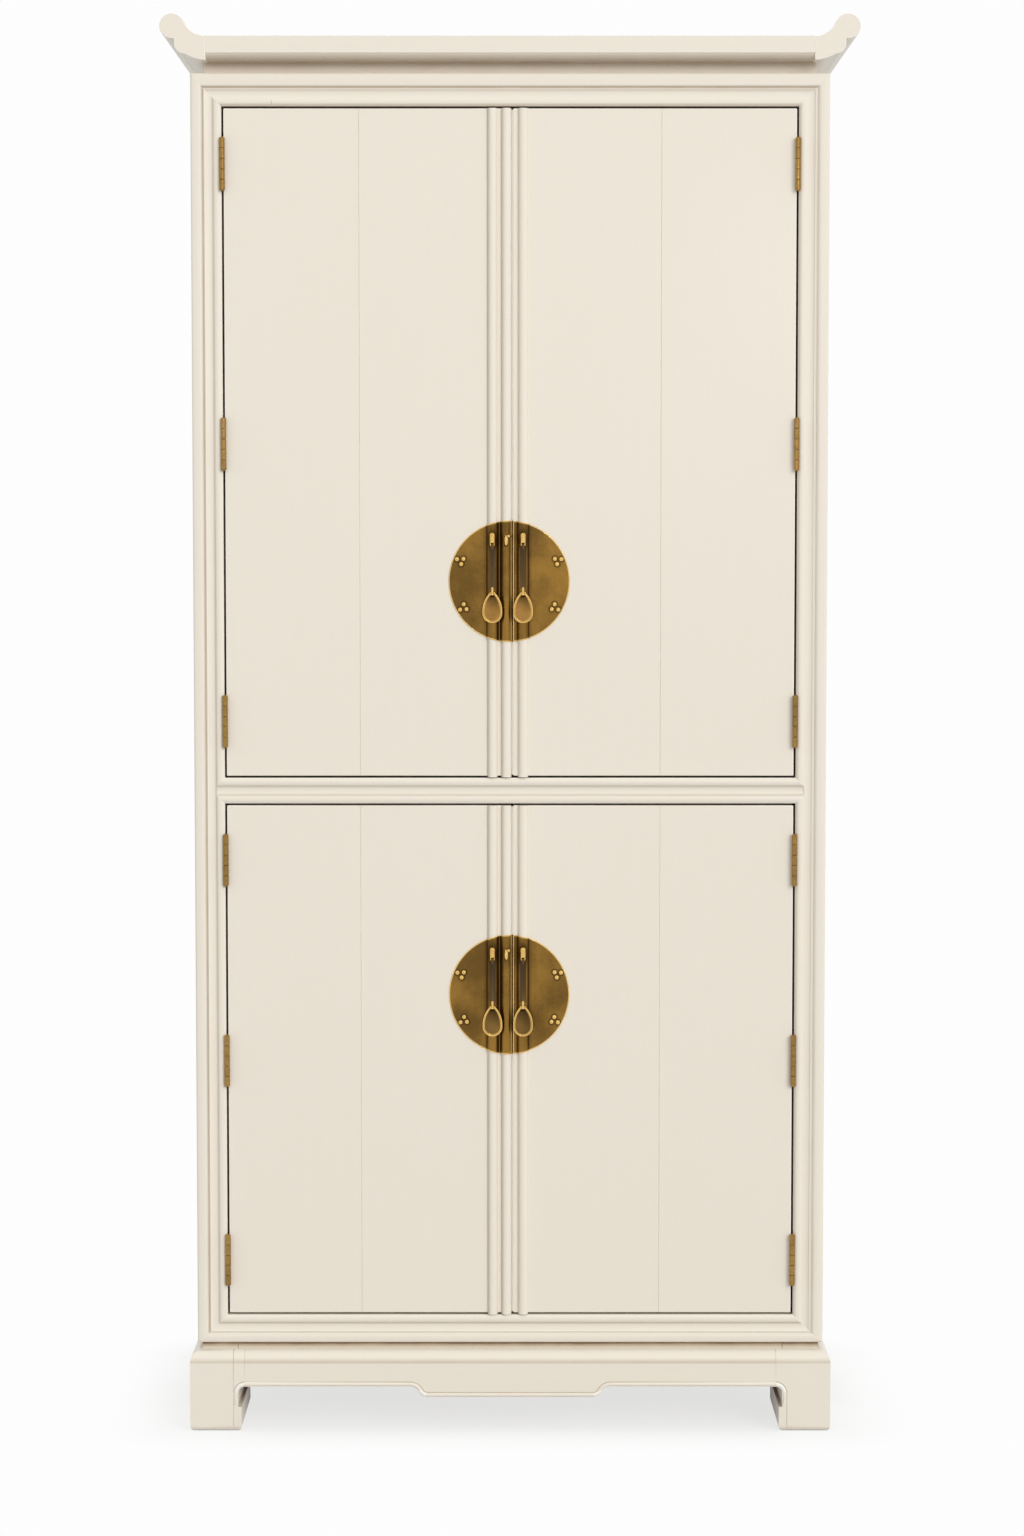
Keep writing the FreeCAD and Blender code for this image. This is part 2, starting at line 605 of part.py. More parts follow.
def rear_apron():
    """Plain apron between the rear feet."""
    return box("rear_apron",
               (f"-{HALF_APRON}", f"{REAR} - {APRON_THICKNESS}", "size.apron_rise"),
               (HALF_APRON, REAR, "size.base_height"))


def neck(name, inset, low, high):
    """Recessed frame: long members at the front and back, short ones between them."""
    half = f"({HALF_WIDTH} - {inset})"
    inner_half = f"({half} - size.neck_rail_width)"
    front, rear = f"({FACE} + {inset})", f"({REAR} - {inset})"
    inner_front, inner_rear = f"({front} + size.neck_rail_width)", f"({rear} - size.neck_rail_width)"
    return group(name, [
        box(f"{name}_front", (f"-{half}", front, low), (half, inner_front, high)),
        box(f"{name}_rear", (f"-{half}", inner_rear, low), (half, rear, high)),
        box(f"{name}_left", (f"-{half}", inner_front, low), (f"-{inner_half}", inner_rear, high)),
        box(f"{name}_right", (inner_half, inner_front, low), (half, inner_rear, high)),
    ])


def shelf_levels():
    """Shelf name and the height of its underside."""
    return {
        "lower_shelf": f"({LOWER_SILL} + size.lower_shelf_rise)",
        "middle_shelf": f"({UPPER_SILL} + size.middle_shelf_rise)",
        "upper_shelf": f"({UPPER_SILL} + size.upper_shelf_rise)",
    }


def pin_places():
    """Depth and height of the shelf pins' axes in one side panel."""
    depths = (f"{SHELF_FRONT} + size.shelf_pin_inset", f"{SHELF_REAR} - size.shelf_pin_inset")
    levels = [f"{level} - size.shelf_pin_radius" for level in shelf_levels().values()]
    return [(depth, level) for level in levels for depth in depths]


def pin_row(name, sign, radius):
    """Bars in one side panel that carry the shelves, or the holes they sit in."""
    buried = f"({HALF_INSIDE} + size.shelf_pin_depth)"
    start = f"-{buried}" if sign < 0 else f"{HALF_INSIDE} - size.shelf_pin_reach"
    length = "size.shelf_pin_depth + size.shelf_pin_reach"
    return [cylinder(f"{name}_{index}", (start, depth, level), radius, length, ALONG_X)
            for index, (depth, level) in enumerate(pin_places())]


def side_panel(side, sign):
    """Carcass side with the holes of its shelf pins."""
    inner, outer = signed(sign, HALF_INSIDE), signed(sign, HALF_WIDTH)
    left, right = (outer, inner) if sign < 0 else (inner, outer)
    board = box(f"{side}_side_board", (left, INSIDE_FRONT, CARCASS_LOW), (right, REAR, CARCASS_HIGH))
    holes = fuse(f"{side}_pin_holes",
                 pin_row(f"{side}_pin_hole", sign, "size.shelf_pin_radius + size.pin_clearance"))
    return cut(f"{side}_side_panel", board, holes)


def carcass_boards():
    """Boards between the sides."""
    levels = {
        "carcass_bottom": (f"{LOWER_SILL} - size.deck_thickness", LOWER_SILL),
        "middle_deck": (f"{UPPER_SILL} - size.deck_thickness", UPPER_SILL),
        "carcass_top": (f"{CARCASS_HIGH} - size.deck_thickness", CARCASS_HIGH),
    }
    boards = [box(name, (f"-{HALF_INSIDE}", INSIDE_FRONT, low), (HALF_INSIDE, INSIDE_REAR, high))
              for name, (low, high) in levels.items()]
    back = box("back_panel", (f"-{HALF_INSIDE}", INSIDE_REAR, CARCASS_LOW), (HALF_INSIDE, REAR, CARCASS_HIGH))
    return boards + [back]


def shelves():
    """Adjustable shelves resting on their pins."""
    half = f"({HALF_INSIDE} - size.shelf_play)"
    boards, pins = [], []
    for name, level in shelf_levels().items():
        top = f"{level} + size.shelf_thickness"
        boards.append(box(name, (f"-{half}", SHELF_FRONT, level), (half, SHELF_REAR, top)))
    for side, sign in SIDES.items():
        pins += pin_row(f"{side}_shelf_pin", sign, "size.shelf_pin_radius")
    return [group("adjustable_shelves", boards), group("shelf_pins", pins)]


def catch_middle(sign):
    """Middle of a catch and of the strike that faces it."""
    return f"(size.meeting_offset + {sign} * size.catch_offset)"


def catches():
    """Magnetic catches behind the rail over each door."""
    ceilings = {
        "upper": f"{CARCASS_HIGH} - size.deck_thickness",
        "lower": f"{UPPER_SILL} - size.deck_thickness",
    }
    blocks = []
    for tier in TIERS:
        for side, sign in SIDES.items():
            middle = catch_middle(sign)
            low = (f"{middle} - size.catch_width / 2", INSIDE_FRONT, f"{HEAD[tier]} - size.catch_drop")
            high = (f"{middle} + size.catch_width / 2", f"{INSIDE_FRONT} + size.catch_depth", ceilings[tier])
            blocks.append(box(f"{tier}_{side}_catch", low, high))
    return group("magnetic_catches", blocks)


def top_board():
    """Top board: flat band, step and rounded underside along its front edge."""
    band_low = f"({BOARD_HIGH} - size.top_band_height)"
    step = (f"({TOP_FRONT} + size.top_fillet)", f"({band_low} - size.top_fillet)")
    curve_end = (f"({step[0]} + size.top_ovolo_reach)", BOARD_LOW)
    path = [
        (TOP_FRONT, BOARD_HIGH),
        (TOP_FRONT, band_low),
        (step[0], band_low),
        step,
        curve_end + bow_point(curve_end, step, "size.top_ovolo_bow"),
        (REAR, BOARD_LOW),
        (REAR, BOARD_HIGH),
    ]
    return side_prism("top_board", path, f"-{HALF_BOARD}", HALF_BOARD)


def scroll(side, sign):
    """Everted end of the top: a round head over a swelling underside."""
    centre_x = f"({HALF_WIDTH} + size.scroll_reach)"
    centre_z = f"({BOARD_HIGH} + size.scroll_rise)"
    crown, tuck = "size.scroll_crown_angle * 1deg", "size.scroll_tuck_angle * 1deg"
    head_start = (f"({centre_x} - size.scroll_radius * sin({tuck}))",
                  f"({centre_z} - size.scroll_radius * cos({tuck}))")
    head_end = (f"({centre_x} - size.scroll_radius * cos({crown}))",
                f"({centre_z} + size.scroll_radius * sin({crown}))")
    belly_start = (f"({centre_x} - size.scroll_belly_run)", f"({BOARD_LOW} + size.scroll_belly_rise)")
    belly_end = (head_start[0], f"({head_start[1]} - size.scroll_step)")
    root_low, root_high = ((f"({HALF_BOARD} + size.scroll_root)", level) for level in (BOARD_LOW, BOARD_HIGH))
    path = [
        (HALF_BOARD, BOARD_HIGH),
        (HALF_BOARD, BOARD_LOW),
        root_low,
        belly_start + bow_point(belly_start, root_low, "size.scroll_throat_bow"),
        belly_end + bow_point(belly_end, belly_start, "size.scroll_belly_bow"),
        head_start,
        head_end + (f"{centre_x} + size.scroll_radius", centre_z),
        root_high + bow_point(root_high, head_end, "-size.scroll_hollow_bow"),
    ]
    if sign < 0:
        path = [mirrored(point) for point in path]
    return front_prism(f"{side}_scroll", path, TOP_FRONT, REAR)


def hinge_leaf(name, sign, knuckles):
    """Hinge leaf on one side of its axis, with its own knuckles; the axis is at the origin."""
    inner, outer = f"{sign} * size.leaf_gap / 2", f"{sign} * {DOOR_GAP} / 2"
    left, right = (outer, inner) if sign < 0 else (inner, outer)
    plate_front = "(size.knuckle_radius + size.leaf_relief)"
    low, high = "-size.hinge_length / 2", "size.hinge_length / 2"
    plate_rear = f"({plate_front} + size.leaf_width)"
    barrel_wall = "(size.knuckle_radius + size.hinge_pin_radius) / 2"
    pieces = [box(f"{name}_plate", (left, plate_front, low), (right, plate_rear, high))]
    for index in knuckles:
        start = f"({index} * ({KNUCKLE_LENGTH} + size.knuckle_gap) - size.hinge_length / 2)"
        end = f"({start} + {KNUCKLE_LENGTH})"
        pieces += [
            box(f"{name}_tongue_{index}", (left, barrel_wall, start), (right, plate_front, end)),
            cylinder(f"{name}_knuckle_{index}", ("0", "0", start), "size.knuckle_radius", KNUCKLE_LENGTH),
        ]
    bore_radius = "size.hinge_pin_radius + size.pin_clearance"
    bore = cylinder(f"{name}_bore", ("0", "0", low), bore_radius, "size.hinge_length")
    return cut(name, fuse(f"{name}_blank", pieces), bore)


def hinge_pin():
    """Hinge pin with a button on each end; its middle is at the origin."""
    half = "size.hinge_length / 2"
    shaft = cylinder("pin_shaft", ("0", "0", f"-{half}"), "size.hinge_pin_radius", "size.hinge_length")
    heads = [cylinder(f"pin_head_{end}", ("0", "0", level), "size.pin_head_radius", "size.pin_head_height")
             for end, level in (("low", f"-{half} - size.pin_head_height"), ("high", half))]
    return fuse("pin_template", [shaft] + heads)


def hinge_places(tier, sign):
    """Centres of a door's three hinges on its axis."""
    axis_x = signed(sign, f"{HALF_OPENING} - {DOOR_GAP} / 2")
    axis_y = f"{DOOR_FACE} - size.knuckle_standoff - size.knuckle_radius"
    sill, head = SILL[tier], HEAD[tier]
    levels = (f"{sill} + size.hinge_end_offset", f"({sill} + {head}) / 2", f"{head} - size.hinge_end_offset")
    return [(axis_x, axis_y, level) for level in levels]


def hinges():
    """Butt hinges: leaves on the frame and their pins in the carcass, leaves on each door."""
    own = range(0, KNUCKLE_COUNT, 2)
    facing = range(1, KNUCKLE_COUNT, 2)
    pin = hinge_pin()
    frame_leaves, pins, door_leaves = [], [], []
    for side, sign in SIDES.items():
        frame_leaf = hinge_leaf(f"{side}_frame_leaf", sign, own)
        door_leaf = hinge_leaf(f"{side}_door_leaf", -sign, facing)
        for tier in TIERS:
            stem = f"{tier}_{side}"
            leaves = []
            for index, spot in enumerate(hinge_places(tier, sign)):
                frame_leaves.append(copy_at(f"{stem}_frame_leaf_{index}", frame_leaf, spot))
                pins.append(copy_at(f"{stem}_pin_{index}", pin, spot))
                leaves.append(copy_at(f"{stem}_leaf_{index}", door_leaf, spot))
            door_leaves.append(group(f"{stem}_hinge_leaves", leaves))
    return [group("frame_hinge_leaves", frame_leaves), group("hinge_pins", pins)] + door_leaves


def door(tier, side, sign):
    """Door slab with a fine V groove along its board joint."""
    low, high = f"({SILL[tier]} + {DOOR_GAP})", f"({HEAD[tier]} - {DOOR_GAP})"
    slab = box(f"{tier}_{side}_slab",
               (DOOR_LEFT_EDGE[side], DOOR_FACE, low), (DOOR_RIGHT_EDGE[side], DOOR_REAR, high))
    seam = f"({sign} * size.seam_offset)"
    groove_path = [
        (f"{seam} - size.seam_width / 2", DOOR_FACE),
        (seam, f"{DOOR_FACE} + size.seam_depth"),
        (f"{seam} + size.seam_width / 2", DOOR_FACE),
    ]
    groove = prism(f"{tier}_{side}_seam", PLAN_VIEW, groove_path, ("0", "0", low), f"{high} - {low}")
    return cut(f"{tier}_{side}_door", slab, groove)


def reeds(tier, side):
    """Half-round reeds over the full height of a door and a little past its lower edge."""
    low, high = f"({SILL[tier]} + {DOOR_GAP} - size.reed_overhang)", f"({HEAD[tier]} - {DOOR_GAP})"
    strips = []
    for index, middle in enumerate(REED_X[side]):
        stem = f"{tier}_{side}_reed_{index}"
        bar = cylinder(f"{stem}_bar", (middle, REED_AXIS_Y, low), REED_RADIUS, f"{high} - {low}")
        keep = box(f"{stem}_keep",
                   (f"{middle} - size.reed_width / 2", f"{DOOR_FACE} - size.reed_height", low),
                   (f"{middle} + size.reed_width / 2", DOOR_FACE, high))
        strips.append(common(stem, bar, keep))
    return group(f"{tier}_{side}_reeds", strips)


def plate_bars(name, tier, side, radius):
    """Bars over a door's reeds, as tall as the lock plate."""
    low = f"{PLATE_Z[tier]} - size.plate_radius"
    return [cylinder(f"{name}_{index}", (middle, REED_AXIS_Y, low), radius, "2 * size.plate_radius")
            for index, middle in enumerate(REED_X[side])]


def lock_plate(tier, side):
    """Half of a round lock plate: thin sheet dressed over the reeds."""
    stem = f"{tier}_{side}_plate"
    middle = PLATE_Z[tier]
    far_left, far_right = f"({PLATE_X} - size.plate_radius)", f"({PLATE_X} + size.plate_radius)"
    left = far_left if side == "left" else DOOR_LEFT_EDGE[side]
    right = DOOR_RIGHT_EDGE[side] if side == "left" else far_right
    low, high = f"({middle} - size.plate_radius)", f"({middle} + size.plate_radius)"
    plate_face = f"({DOOR_FACE} - size.plate_thickness)"
    sheet_metal = box(f"{stem}_sheet", (left, plate_face, low), (right, DOOR_FACE, high))
    dressed = fuse(f"{stem}_dressed", [sheet_metal] + plate_bars(f"{stem}_ridge", tier, side, RIDGE_RADIUS))
    for index, hollow in enumerate(plate_bars(f"{stem}_hollow", tier, side, HOLLOW_RADIUS)):
        dressed = cut(f"{stem}_hollowed_{index}", dressed, hollow)
    rise = f"({DOOR_FACE} - {PLATE_CREST})"
    disc = cylinder(f"{stem}_disc", (PLATE_X, DOOR_FACE, middle), "size.plate_radius", rise, TOWARDS_FRONT)
    half = box(f"{stem}_half", (left, PLATE_CREST, low), (right, DOOR_FACE, high))
    blank = common(f"{stem}_blank", disc, half)
    return common(f"{tier}_{side}_lock_plate", dressed, blank)


def studs(tier, side, sign):
    """Domed nail heads in two groups of three near the plate's outer edge."""
    ball = "((size.stud_radius ^ 2 + size.stud_height ^ 2) / (2 * size.stud_height))"
    seat = f"{DOOR_FACE} - size.plate_thickness + {ball} - size.stud_height"
    heads = []
    for level, rising in (("upper", 1), ("lower", -1)):
        angle = f"size.{level}_stud_angle"
        spots = (
            ("size.stud_circle", f"({angle} - size.stud_spread)"),
            ("size.stud_circle", f"({angle} + size.stud_spread)"),
            ("size.rim_stud_circle", angle),
        )
        for index, (circle, bearing) in enumerate(spots):
            head = doc.addObject("Part::Sphere", f"{tier}_{side}_{level}_stud_{index}")
            bind(head, Radius=ball, Angle1=f"asin(1 - size.stud_height / {ball})")
            position = (
                f"{PLATE_X} + {sign} * {circle} * cos({bearing} * 1deg)",
                seat,
                f"{PLATE_Z[tier]} + {rising} * {circle} * sin({bearing} * 1deg)",
            )
            heads.append(place(head, position, TOWARDS_FRONT))
    return heads


def pull_x(side):
    """The pull hangs on a door's outer reed."""
    return REED_X[side][0]


def strap_pivot(tier):
    """Height of the pin in a staple."""
    return f"({PLATE_Z[tier]} + size.staple_rise + {LUG_RADIUS})"


def staple(tier, side):
    """Rounded block on the plate's crest, slotted for the strap's eye and crossed by its pin."""
    stem = f"{tier}_{side}_staple"
    pivot = strap_pivot(tier)
    top = f"({PLATE_Z[tier]} + size.staple_rise + size.staple_height)"
    low = f"({pivot} - {LUG_RADIUS})"
    seat = f"({PLATE_CREST} + size.plate_thickness)"
    nose = f"({LINK_AXIS_Y} - {LUG_RADIUS})"
    brow = f"({top} - {LUG_RADIUS})"
    rounding = f"{LUG_RADIUS} * cos(45deg)"
    path = [
        (seat, top),
        (seat, low),
        (LINK_AXIS_Y, low),
        (nose, pivot, f"{LINK_AXIS_Y} - {rounding}", f"{pivot} - {rounding}"),
        (nose, brow),
        (LINK_AXIS_Y, top, f"{LINK_AXIS_Y} - {rounding}", f"{brow} + {rounding}"),
    ]
    middle = pull_x(side)
    block = side_prism(f"{stem}_block", path,
                       f"{middle} - {STAPLE_WIDTH} / 2", f"{middle} + {STAPLE_WIDTH} / 2")
    slot_top = f"{pivot} + size.link_eye_radius + size.link_clearance"
    slot = box(f"{stem}_slot",
               (f"{middle} - {SLOT_WIDTH} / 2", nose, low),
               (f"{middle} + {SLOT_WIDTH} / 2", seat, slot_top))
    saddle = plate_bars(f"{stem}_saddle", tier, side, RIDGE_RADIUS)[0]
    seated = cut(f"{stem}_seated", block, fuse(f"{stem}_cuts", [slot, saddle]))
    pin = cylinder(f"{stem}_pin", (f"{middle} - {STAPLE_WIDTH} / 2", LINK_AXIS_Y, pivot),
                   "size.link_pin_radius", STAPLE_WIDTH, ALONG_X)
    return fuse(stem, [seated, pin])


def lock_staple(tier):
    """Half-ring on the inner reed of a left door, where a lock pin would pass."""
    stem = f"{tier}_lock_staple"
    ring = doc.addObject("Part::Torus", f"{stem}_ring")
    bind(ring, Radius1="size.lock_ring_radius", Radius2="size.lock_wire_radius")
    middle = REED_X["left"][1]
    level = f"({PLATE_Z[tier]} + size.lock_rise)"
    place(ring, (middle, f"{PLATE_CREST} + size.plate_thickness / 2", level), ALONG_X)
    reach = "(size.lock_ring_radius + size.lock_wire_radius)"
    front_half = box(f"{stem}_half",
                     (f"{middle} - size.lock_wire_radius", f"{PLATE_CREST} - {reach}", f"{level} - {reach}"),
                     (f"{middle} + size.lock_wire_radius", f"{PLATE_CREST} + size.plate_thickness / 2",
                      f"{level} + {reach}"))
    saddle = plate_bars(f"{stem}_saddle", tier, "left", RIDGE_RADIUS)[1]
    return cut(stem, common(f"{stem}_bow", ring, front_half), saddle)


def plate_fixings(tier, side, sign):
    """Everything fixed on a lock plate: nail heads, the pull's staple and, on the left, the lock staple."""
    pieces = studs(tier, side, sign) + [staple(tier, side)]
    if side == "left":
        pieces.append(lock_staple(tier))
    return group(f"{tier}_{side}_plate_fixings", pieces)


def strap(tier, side):
    """Flat strap with a narrow eye at each end; its full width clears the staple when it swings."""
    stem = f"{tier}_{side}_pull_strap"
    middle = pull_x(side)
    top = strap_pivot(tier)
    low = f"({top} - size.strap_length)"
    clear = f"({LUG_RADIUS} + size.strap_clearance)"
    front = f"({LINK_AXIS_Y} - size.strap_thickness / 2)"
    rear = f"({LINK_AXIS_Y} + size.strap_thickness / 2)"

    def bar(name, width, start, end):
        """Flat length of the strap."""
        left, right = f"{middle} - {width} / 2", f"{middle} + {width} / 2"
        return box(f"{stem}_{name}", (left, front, start), (right, rear, end))

    def round_bar(name, level, radius):
        """Round of an eye, or of its bore."""
        start = (f"{middle} - size.link_eye_width / 2", LINK_AXIS_Y, level)
        return cylinder(f"{stem}_{name}", start, radius, "size.link_eye_width", ALONG_X)

    blank = fuse(f"{stem}_blank", [
        bar("neck", "size.link_eye_width", low, top),
        bar("body", "size.strap_width", f"{low} + size.strap_neck", f"{top} - {clear}"),
        round_bar("top_eye", top, "size.link_eye_radius"),
        round_bar("low_eye", low, "size.link_eye_radius"),
    ])
    bore = "size.link_pin_radius + size.pin_clearance"
    holes = fuse(f"{stem}_bores", [round_bar("top_bore", top, bore), round_bar("low_bore", low, bore)])
    return cut(stem, blank, holes)


def pendant_path(middle, pivot, inset, top):
    """Drop shape: a round end and two swelling flanks up to a narrow top."""
    centre = f"({pivot} - size.pendant_length + size.pendant_radius)"
    radius = f"(size.pendant_radius - {inset})"
    shoulder = f"{radius} * cos(size.pendant_flank * 1deg)"
    shoulder_z = f"{centre} + {radius} * sin(size.pendant_flank * 1deg)"
    half_top = f"({PENDANT_HOLE} + size.pendant_ear - {inset})"
    left_top, left_low = (f"({middle} - {half_top})", top), (f"({middle} - {shoulder})", shoulder_z)
    right_top, right_low = (f"({middle} + {half_top})", top), (f"({middle} + {shoulder})", shoulder_z)
    return [
        left_top,
        left_low + bow_point(left_low, left_top, "size.pendant_bow"),
        right_low + (middle, f"{centre} - {radius}"),
        right_top + bow_point(right_top, right_low, "size.pendant_bow"),
    ]


def pendant(tier, side):
    """Drop-shaped pendant with a raised rim, forked at the top round the strap's eye."""
    stem = f"{tier}_{side}_pull_pendant"
    middle = pull_x(side)
    pivot = f"({strap_pivot(tier)} - size.strap_length)"
    front = f"({LINK_AXIS_Y} - size.pendant_thickness / 2)"
    rear = f"({LINK_AXIS_Y} + size.pendant_thickness / 2)"
    top = f"({pivot} + {LUG_RADIUS})"
    drop = front_prism(f"{stem}_drop", pendant_path(middle, pivot, "0", top), front, rear)
    recess_top = f"({pivot} - {PENDANT_HOLE} - size.pendant_rim)"
    recess = front_prism(f"{stem}_recess", pendant_path(middle, pivot, "size.pendant_rim", recess_top),
                         front, f"({front} + size.pendant_sink)")
    hole = cylinder(f"{stem}_hole", (middle, rear, pivot), PENDANT_HOLE,
                    "size.pendant_thickness", TOWARDS_FRONT)
    slot = box(f"{stem}_slot",
               (f"{middle} - {SLOT_WIDTH} / 2", front, pivot), (f"{middle} + {SLOT_WIDTH} / 2", rear, top))
    forked = cut(f"{stem}_forked", drop, fuse(f"{stem}_cuts", [recess, hole, slot]))
    reach = f"({PENDANT_HOLE} + size.pendant_ear / 2)"
    pin = cylinder(f"{stem}_pin", (f"{middle} - {reach}", LINK_AXIS_Y, pivot),
                   "size.link_pin_radius", f"2 * {reach}", ALONG_X)
    return fuse(stem, [forked, pin])


def strike(tier, side, sign):
    """Steel strike on a door's back, facing its catch."""
    middle = catch_middle(sign)
    top = f"({HEAD[tier]} - {DOOR_GAP})"
    return box(f"{tier}_{side}_catch_strike",
               (f"{middle} - size.strike_width / 2", DOOR_REAR, f"{top} - size.strike_height"),
               (f"{middle} + size.strike_width / 2", f"{DOOR_REAR} + size.strike_thickness", top))


def build():
    """Every sub-part of the cabinet."""
    parts = [foot(f"foot_{end}_{side}", sign, end == "front") for end in ("front", "rear")
             for side, sign in SIDES.items()]
    parts += [front_apron(), rear_apron(), side_aprons()]
    parts.append(neck("base_neck", "size.base_neck_inset", "size.base_height", CARCASS_LOW))
    parts += [side_panel(side, sign) for side, sign in SIDES.items()]
    parts += carcass_boards()
    parts += [stile(f"{side}_stile", sign) for side, sign in SIDES.items()]
    parts.append(end_rail("top_rail", TOP_RAIL_HEIGHT, UPPER_HEAD, CARCASS_HIGH, 1))
    parts.append(middle_rail())
    parts.append(end_rail("bottom_rail", BOTTOM_RAIL_HEIGHT, LOWER_SILL, CARCASS_LOW, -1))
    parts += shelves()
    parts.append(catches())
    parts.append(neck("top_neck", "size.top_neck_inset", CARCASS_HIGH, BOARD_LOW))
    parts.append(top_board())
    parts += [scroll(side, sign) for side, sign in SIDES.items()]
    parts += hinges()
    for tier in TIERS:
        for side, sign in SIDES.items():
            parts += [
                door(tier, side, sign),
                reeds(tier, side),
                lock_plate(tier, side),
                plate_fixings(tier, side, sign),
                strike(tier, side, sign),
                strap(tier, side),
                pendant(tier, side),
            ]
    return parts


def check(parts):
    """Stop if any object failed or any sub-part has no sound solid."""
    failed = [item.Name for item in doc.Objects if {"Invalid", "Error"} & set(item.State)]
    if failed:
        raise RuntimeError(f"failed objects: {failed}")
    for item in parts:
        shape = item.Shape
        if shape.isNull() or not shape.isValid() or shape.Volume <= 0 or not shape.Solids:
            raise RuntimeError(f"unsound shape: {item.Label}")


fill_sheet()
sub_parts = build()
doc.recompute()
check(sub_parts)
os.makedirs("parts", exist_ok=True)
for sub_part in sub_parts:
    sub_part.Shape.exportStep(f"parts/{sub_part.Label}.step")
print(len(sub_parts), "sub-parts")
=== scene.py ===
"""Looks of a tall ivory-lacquered cabinet with two pairs of doors, brass lock plates and a scroll-ended top.

Sizes are in millimetres, in the frame's axes: X to the viewer's right, Y to the back and Z up.
"""

from __future__ import annotations

import logging
import math
from dataclasses import dataclass, field, replace
from enum import Enum
from typing import Callable, Sequence, Union

import bmesh
import bpy
import numpy as np
from mathutils import Matrix, Vector

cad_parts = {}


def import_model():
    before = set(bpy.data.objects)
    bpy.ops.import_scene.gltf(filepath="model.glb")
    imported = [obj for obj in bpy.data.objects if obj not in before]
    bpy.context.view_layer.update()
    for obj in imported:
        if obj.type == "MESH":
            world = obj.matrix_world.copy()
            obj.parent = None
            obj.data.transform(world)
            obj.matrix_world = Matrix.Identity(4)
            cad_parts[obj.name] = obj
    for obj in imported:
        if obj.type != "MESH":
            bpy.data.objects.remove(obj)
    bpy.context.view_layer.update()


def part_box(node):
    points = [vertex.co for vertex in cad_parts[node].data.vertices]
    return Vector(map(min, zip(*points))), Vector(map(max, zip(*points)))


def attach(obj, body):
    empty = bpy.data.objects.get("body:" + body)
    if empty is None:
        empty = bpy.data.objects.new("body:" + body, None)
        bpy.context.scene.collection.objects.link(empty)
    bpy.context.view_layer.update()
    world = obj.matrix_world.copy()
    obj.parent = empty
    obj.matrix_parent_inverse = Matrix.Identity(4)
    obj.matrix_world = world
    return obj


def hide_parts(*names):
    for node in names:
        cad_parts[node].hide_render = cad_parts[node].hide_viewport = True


LOG = logging.getLogger("cabinet")
MM = 0.001
CARCASS = "carcass"
NECK_MEMBER = 60.0
ORIGIN = (0.0, 0.0, 0.0)
EVEN = (1.0, 1.0, 1.0)
WHITE = (1.0, 1.0, 1.0, 1.0)

# Rise of a quarter-round over its chord, for a radius of one
QUARTER_RISE = 1 - math.cos(math.pi / 4)

# How far a cutter runs past a face, the least radius of a tip and the least length to divide by
PAST = 1.0
FINEST_TIP = 0.01
TINY = 1e-9

# Copies of the frame's nodes: the gap that closes between triangles, and the bend that counts as flat
NODE_GAP = 0.001
FLAT_BEND = math.radians(0.5)

# Edge and hollow marks (wear and painted highlight on edges; glaze, patina and painted shade in hollows): the
# bend that starts one, its growth, the most for a hollow, and the breadth of a clear face
BEND_MARK_START = 0.05
BEND_MARK_GAIN = 18.0
HOLLOW_LIMIT = 0.45
BROAD_FACE = 0.5

Point2 = tuple[float, float]
Point3 = tuple[float, float, float]
Colour = tuple[float, float, float, float]
Row = np.ndarray
Rule = Callable[[Row, Row, Row], Row]


class Side(Enum):
    """Side of the cabinet, with the sign of its X."""

    LEFT = -1
    RIGHT = 1

    @property
    def word(self) -> str:
        """Name used in node names."""
        return self.name.lower()


class Tier(Enum):
    """Upper or lower pair of doors."""

    UPPER = "upper"
    LOWER = "lower"


class Grain(Enum):
    """Direction in which a board's grain runs, as stretches of a pattern along X, Y and Z."""

    ACROSS = (0.06, 1.0, 1.0)
    DEEP = (1.0, 0.06, 1.0)
    UPRIGHT = (1.0, 1.0, 0.06)


class Plane(Enum):
    """How an outline lies: the axes of its two numbers and of its depth."""

    FRONT = (0, 2, 1)
    SIDE = (1, 2, 0)
    PLAN = (0, 1, 2)

    def point(self, spot: Point2, depth: float) -> Point3:
        """Outline point at a depth, as X, Y and Z."""
        place = [0.0, 0.0, 0.0]
        for axis, value in zip(self.value, (*spot, depth)):
            place[axis] = value
        return tuple(place)


@dataclass(frozen=True)
class Span:
    """Room that a sub-part takes, in millimetres."""

    left: float
    right: float
    front: float
    rear: float
    low: float
    high: float

    @classmethod
    def of(cls, node: str) -> Span:
        """Room of a node of the frame."""
        first, last = (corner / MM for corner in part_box(node))
        return cls(first.x, last.x, first.y, last.y, first.z, last.z)

    @property
    def corners(self) -> tuple[Vector, Vector]:
        """Lowest and highest corner."""
        return Vector((self.left, self.front, self.low)), Vector((self.right, self.rear, self.high))


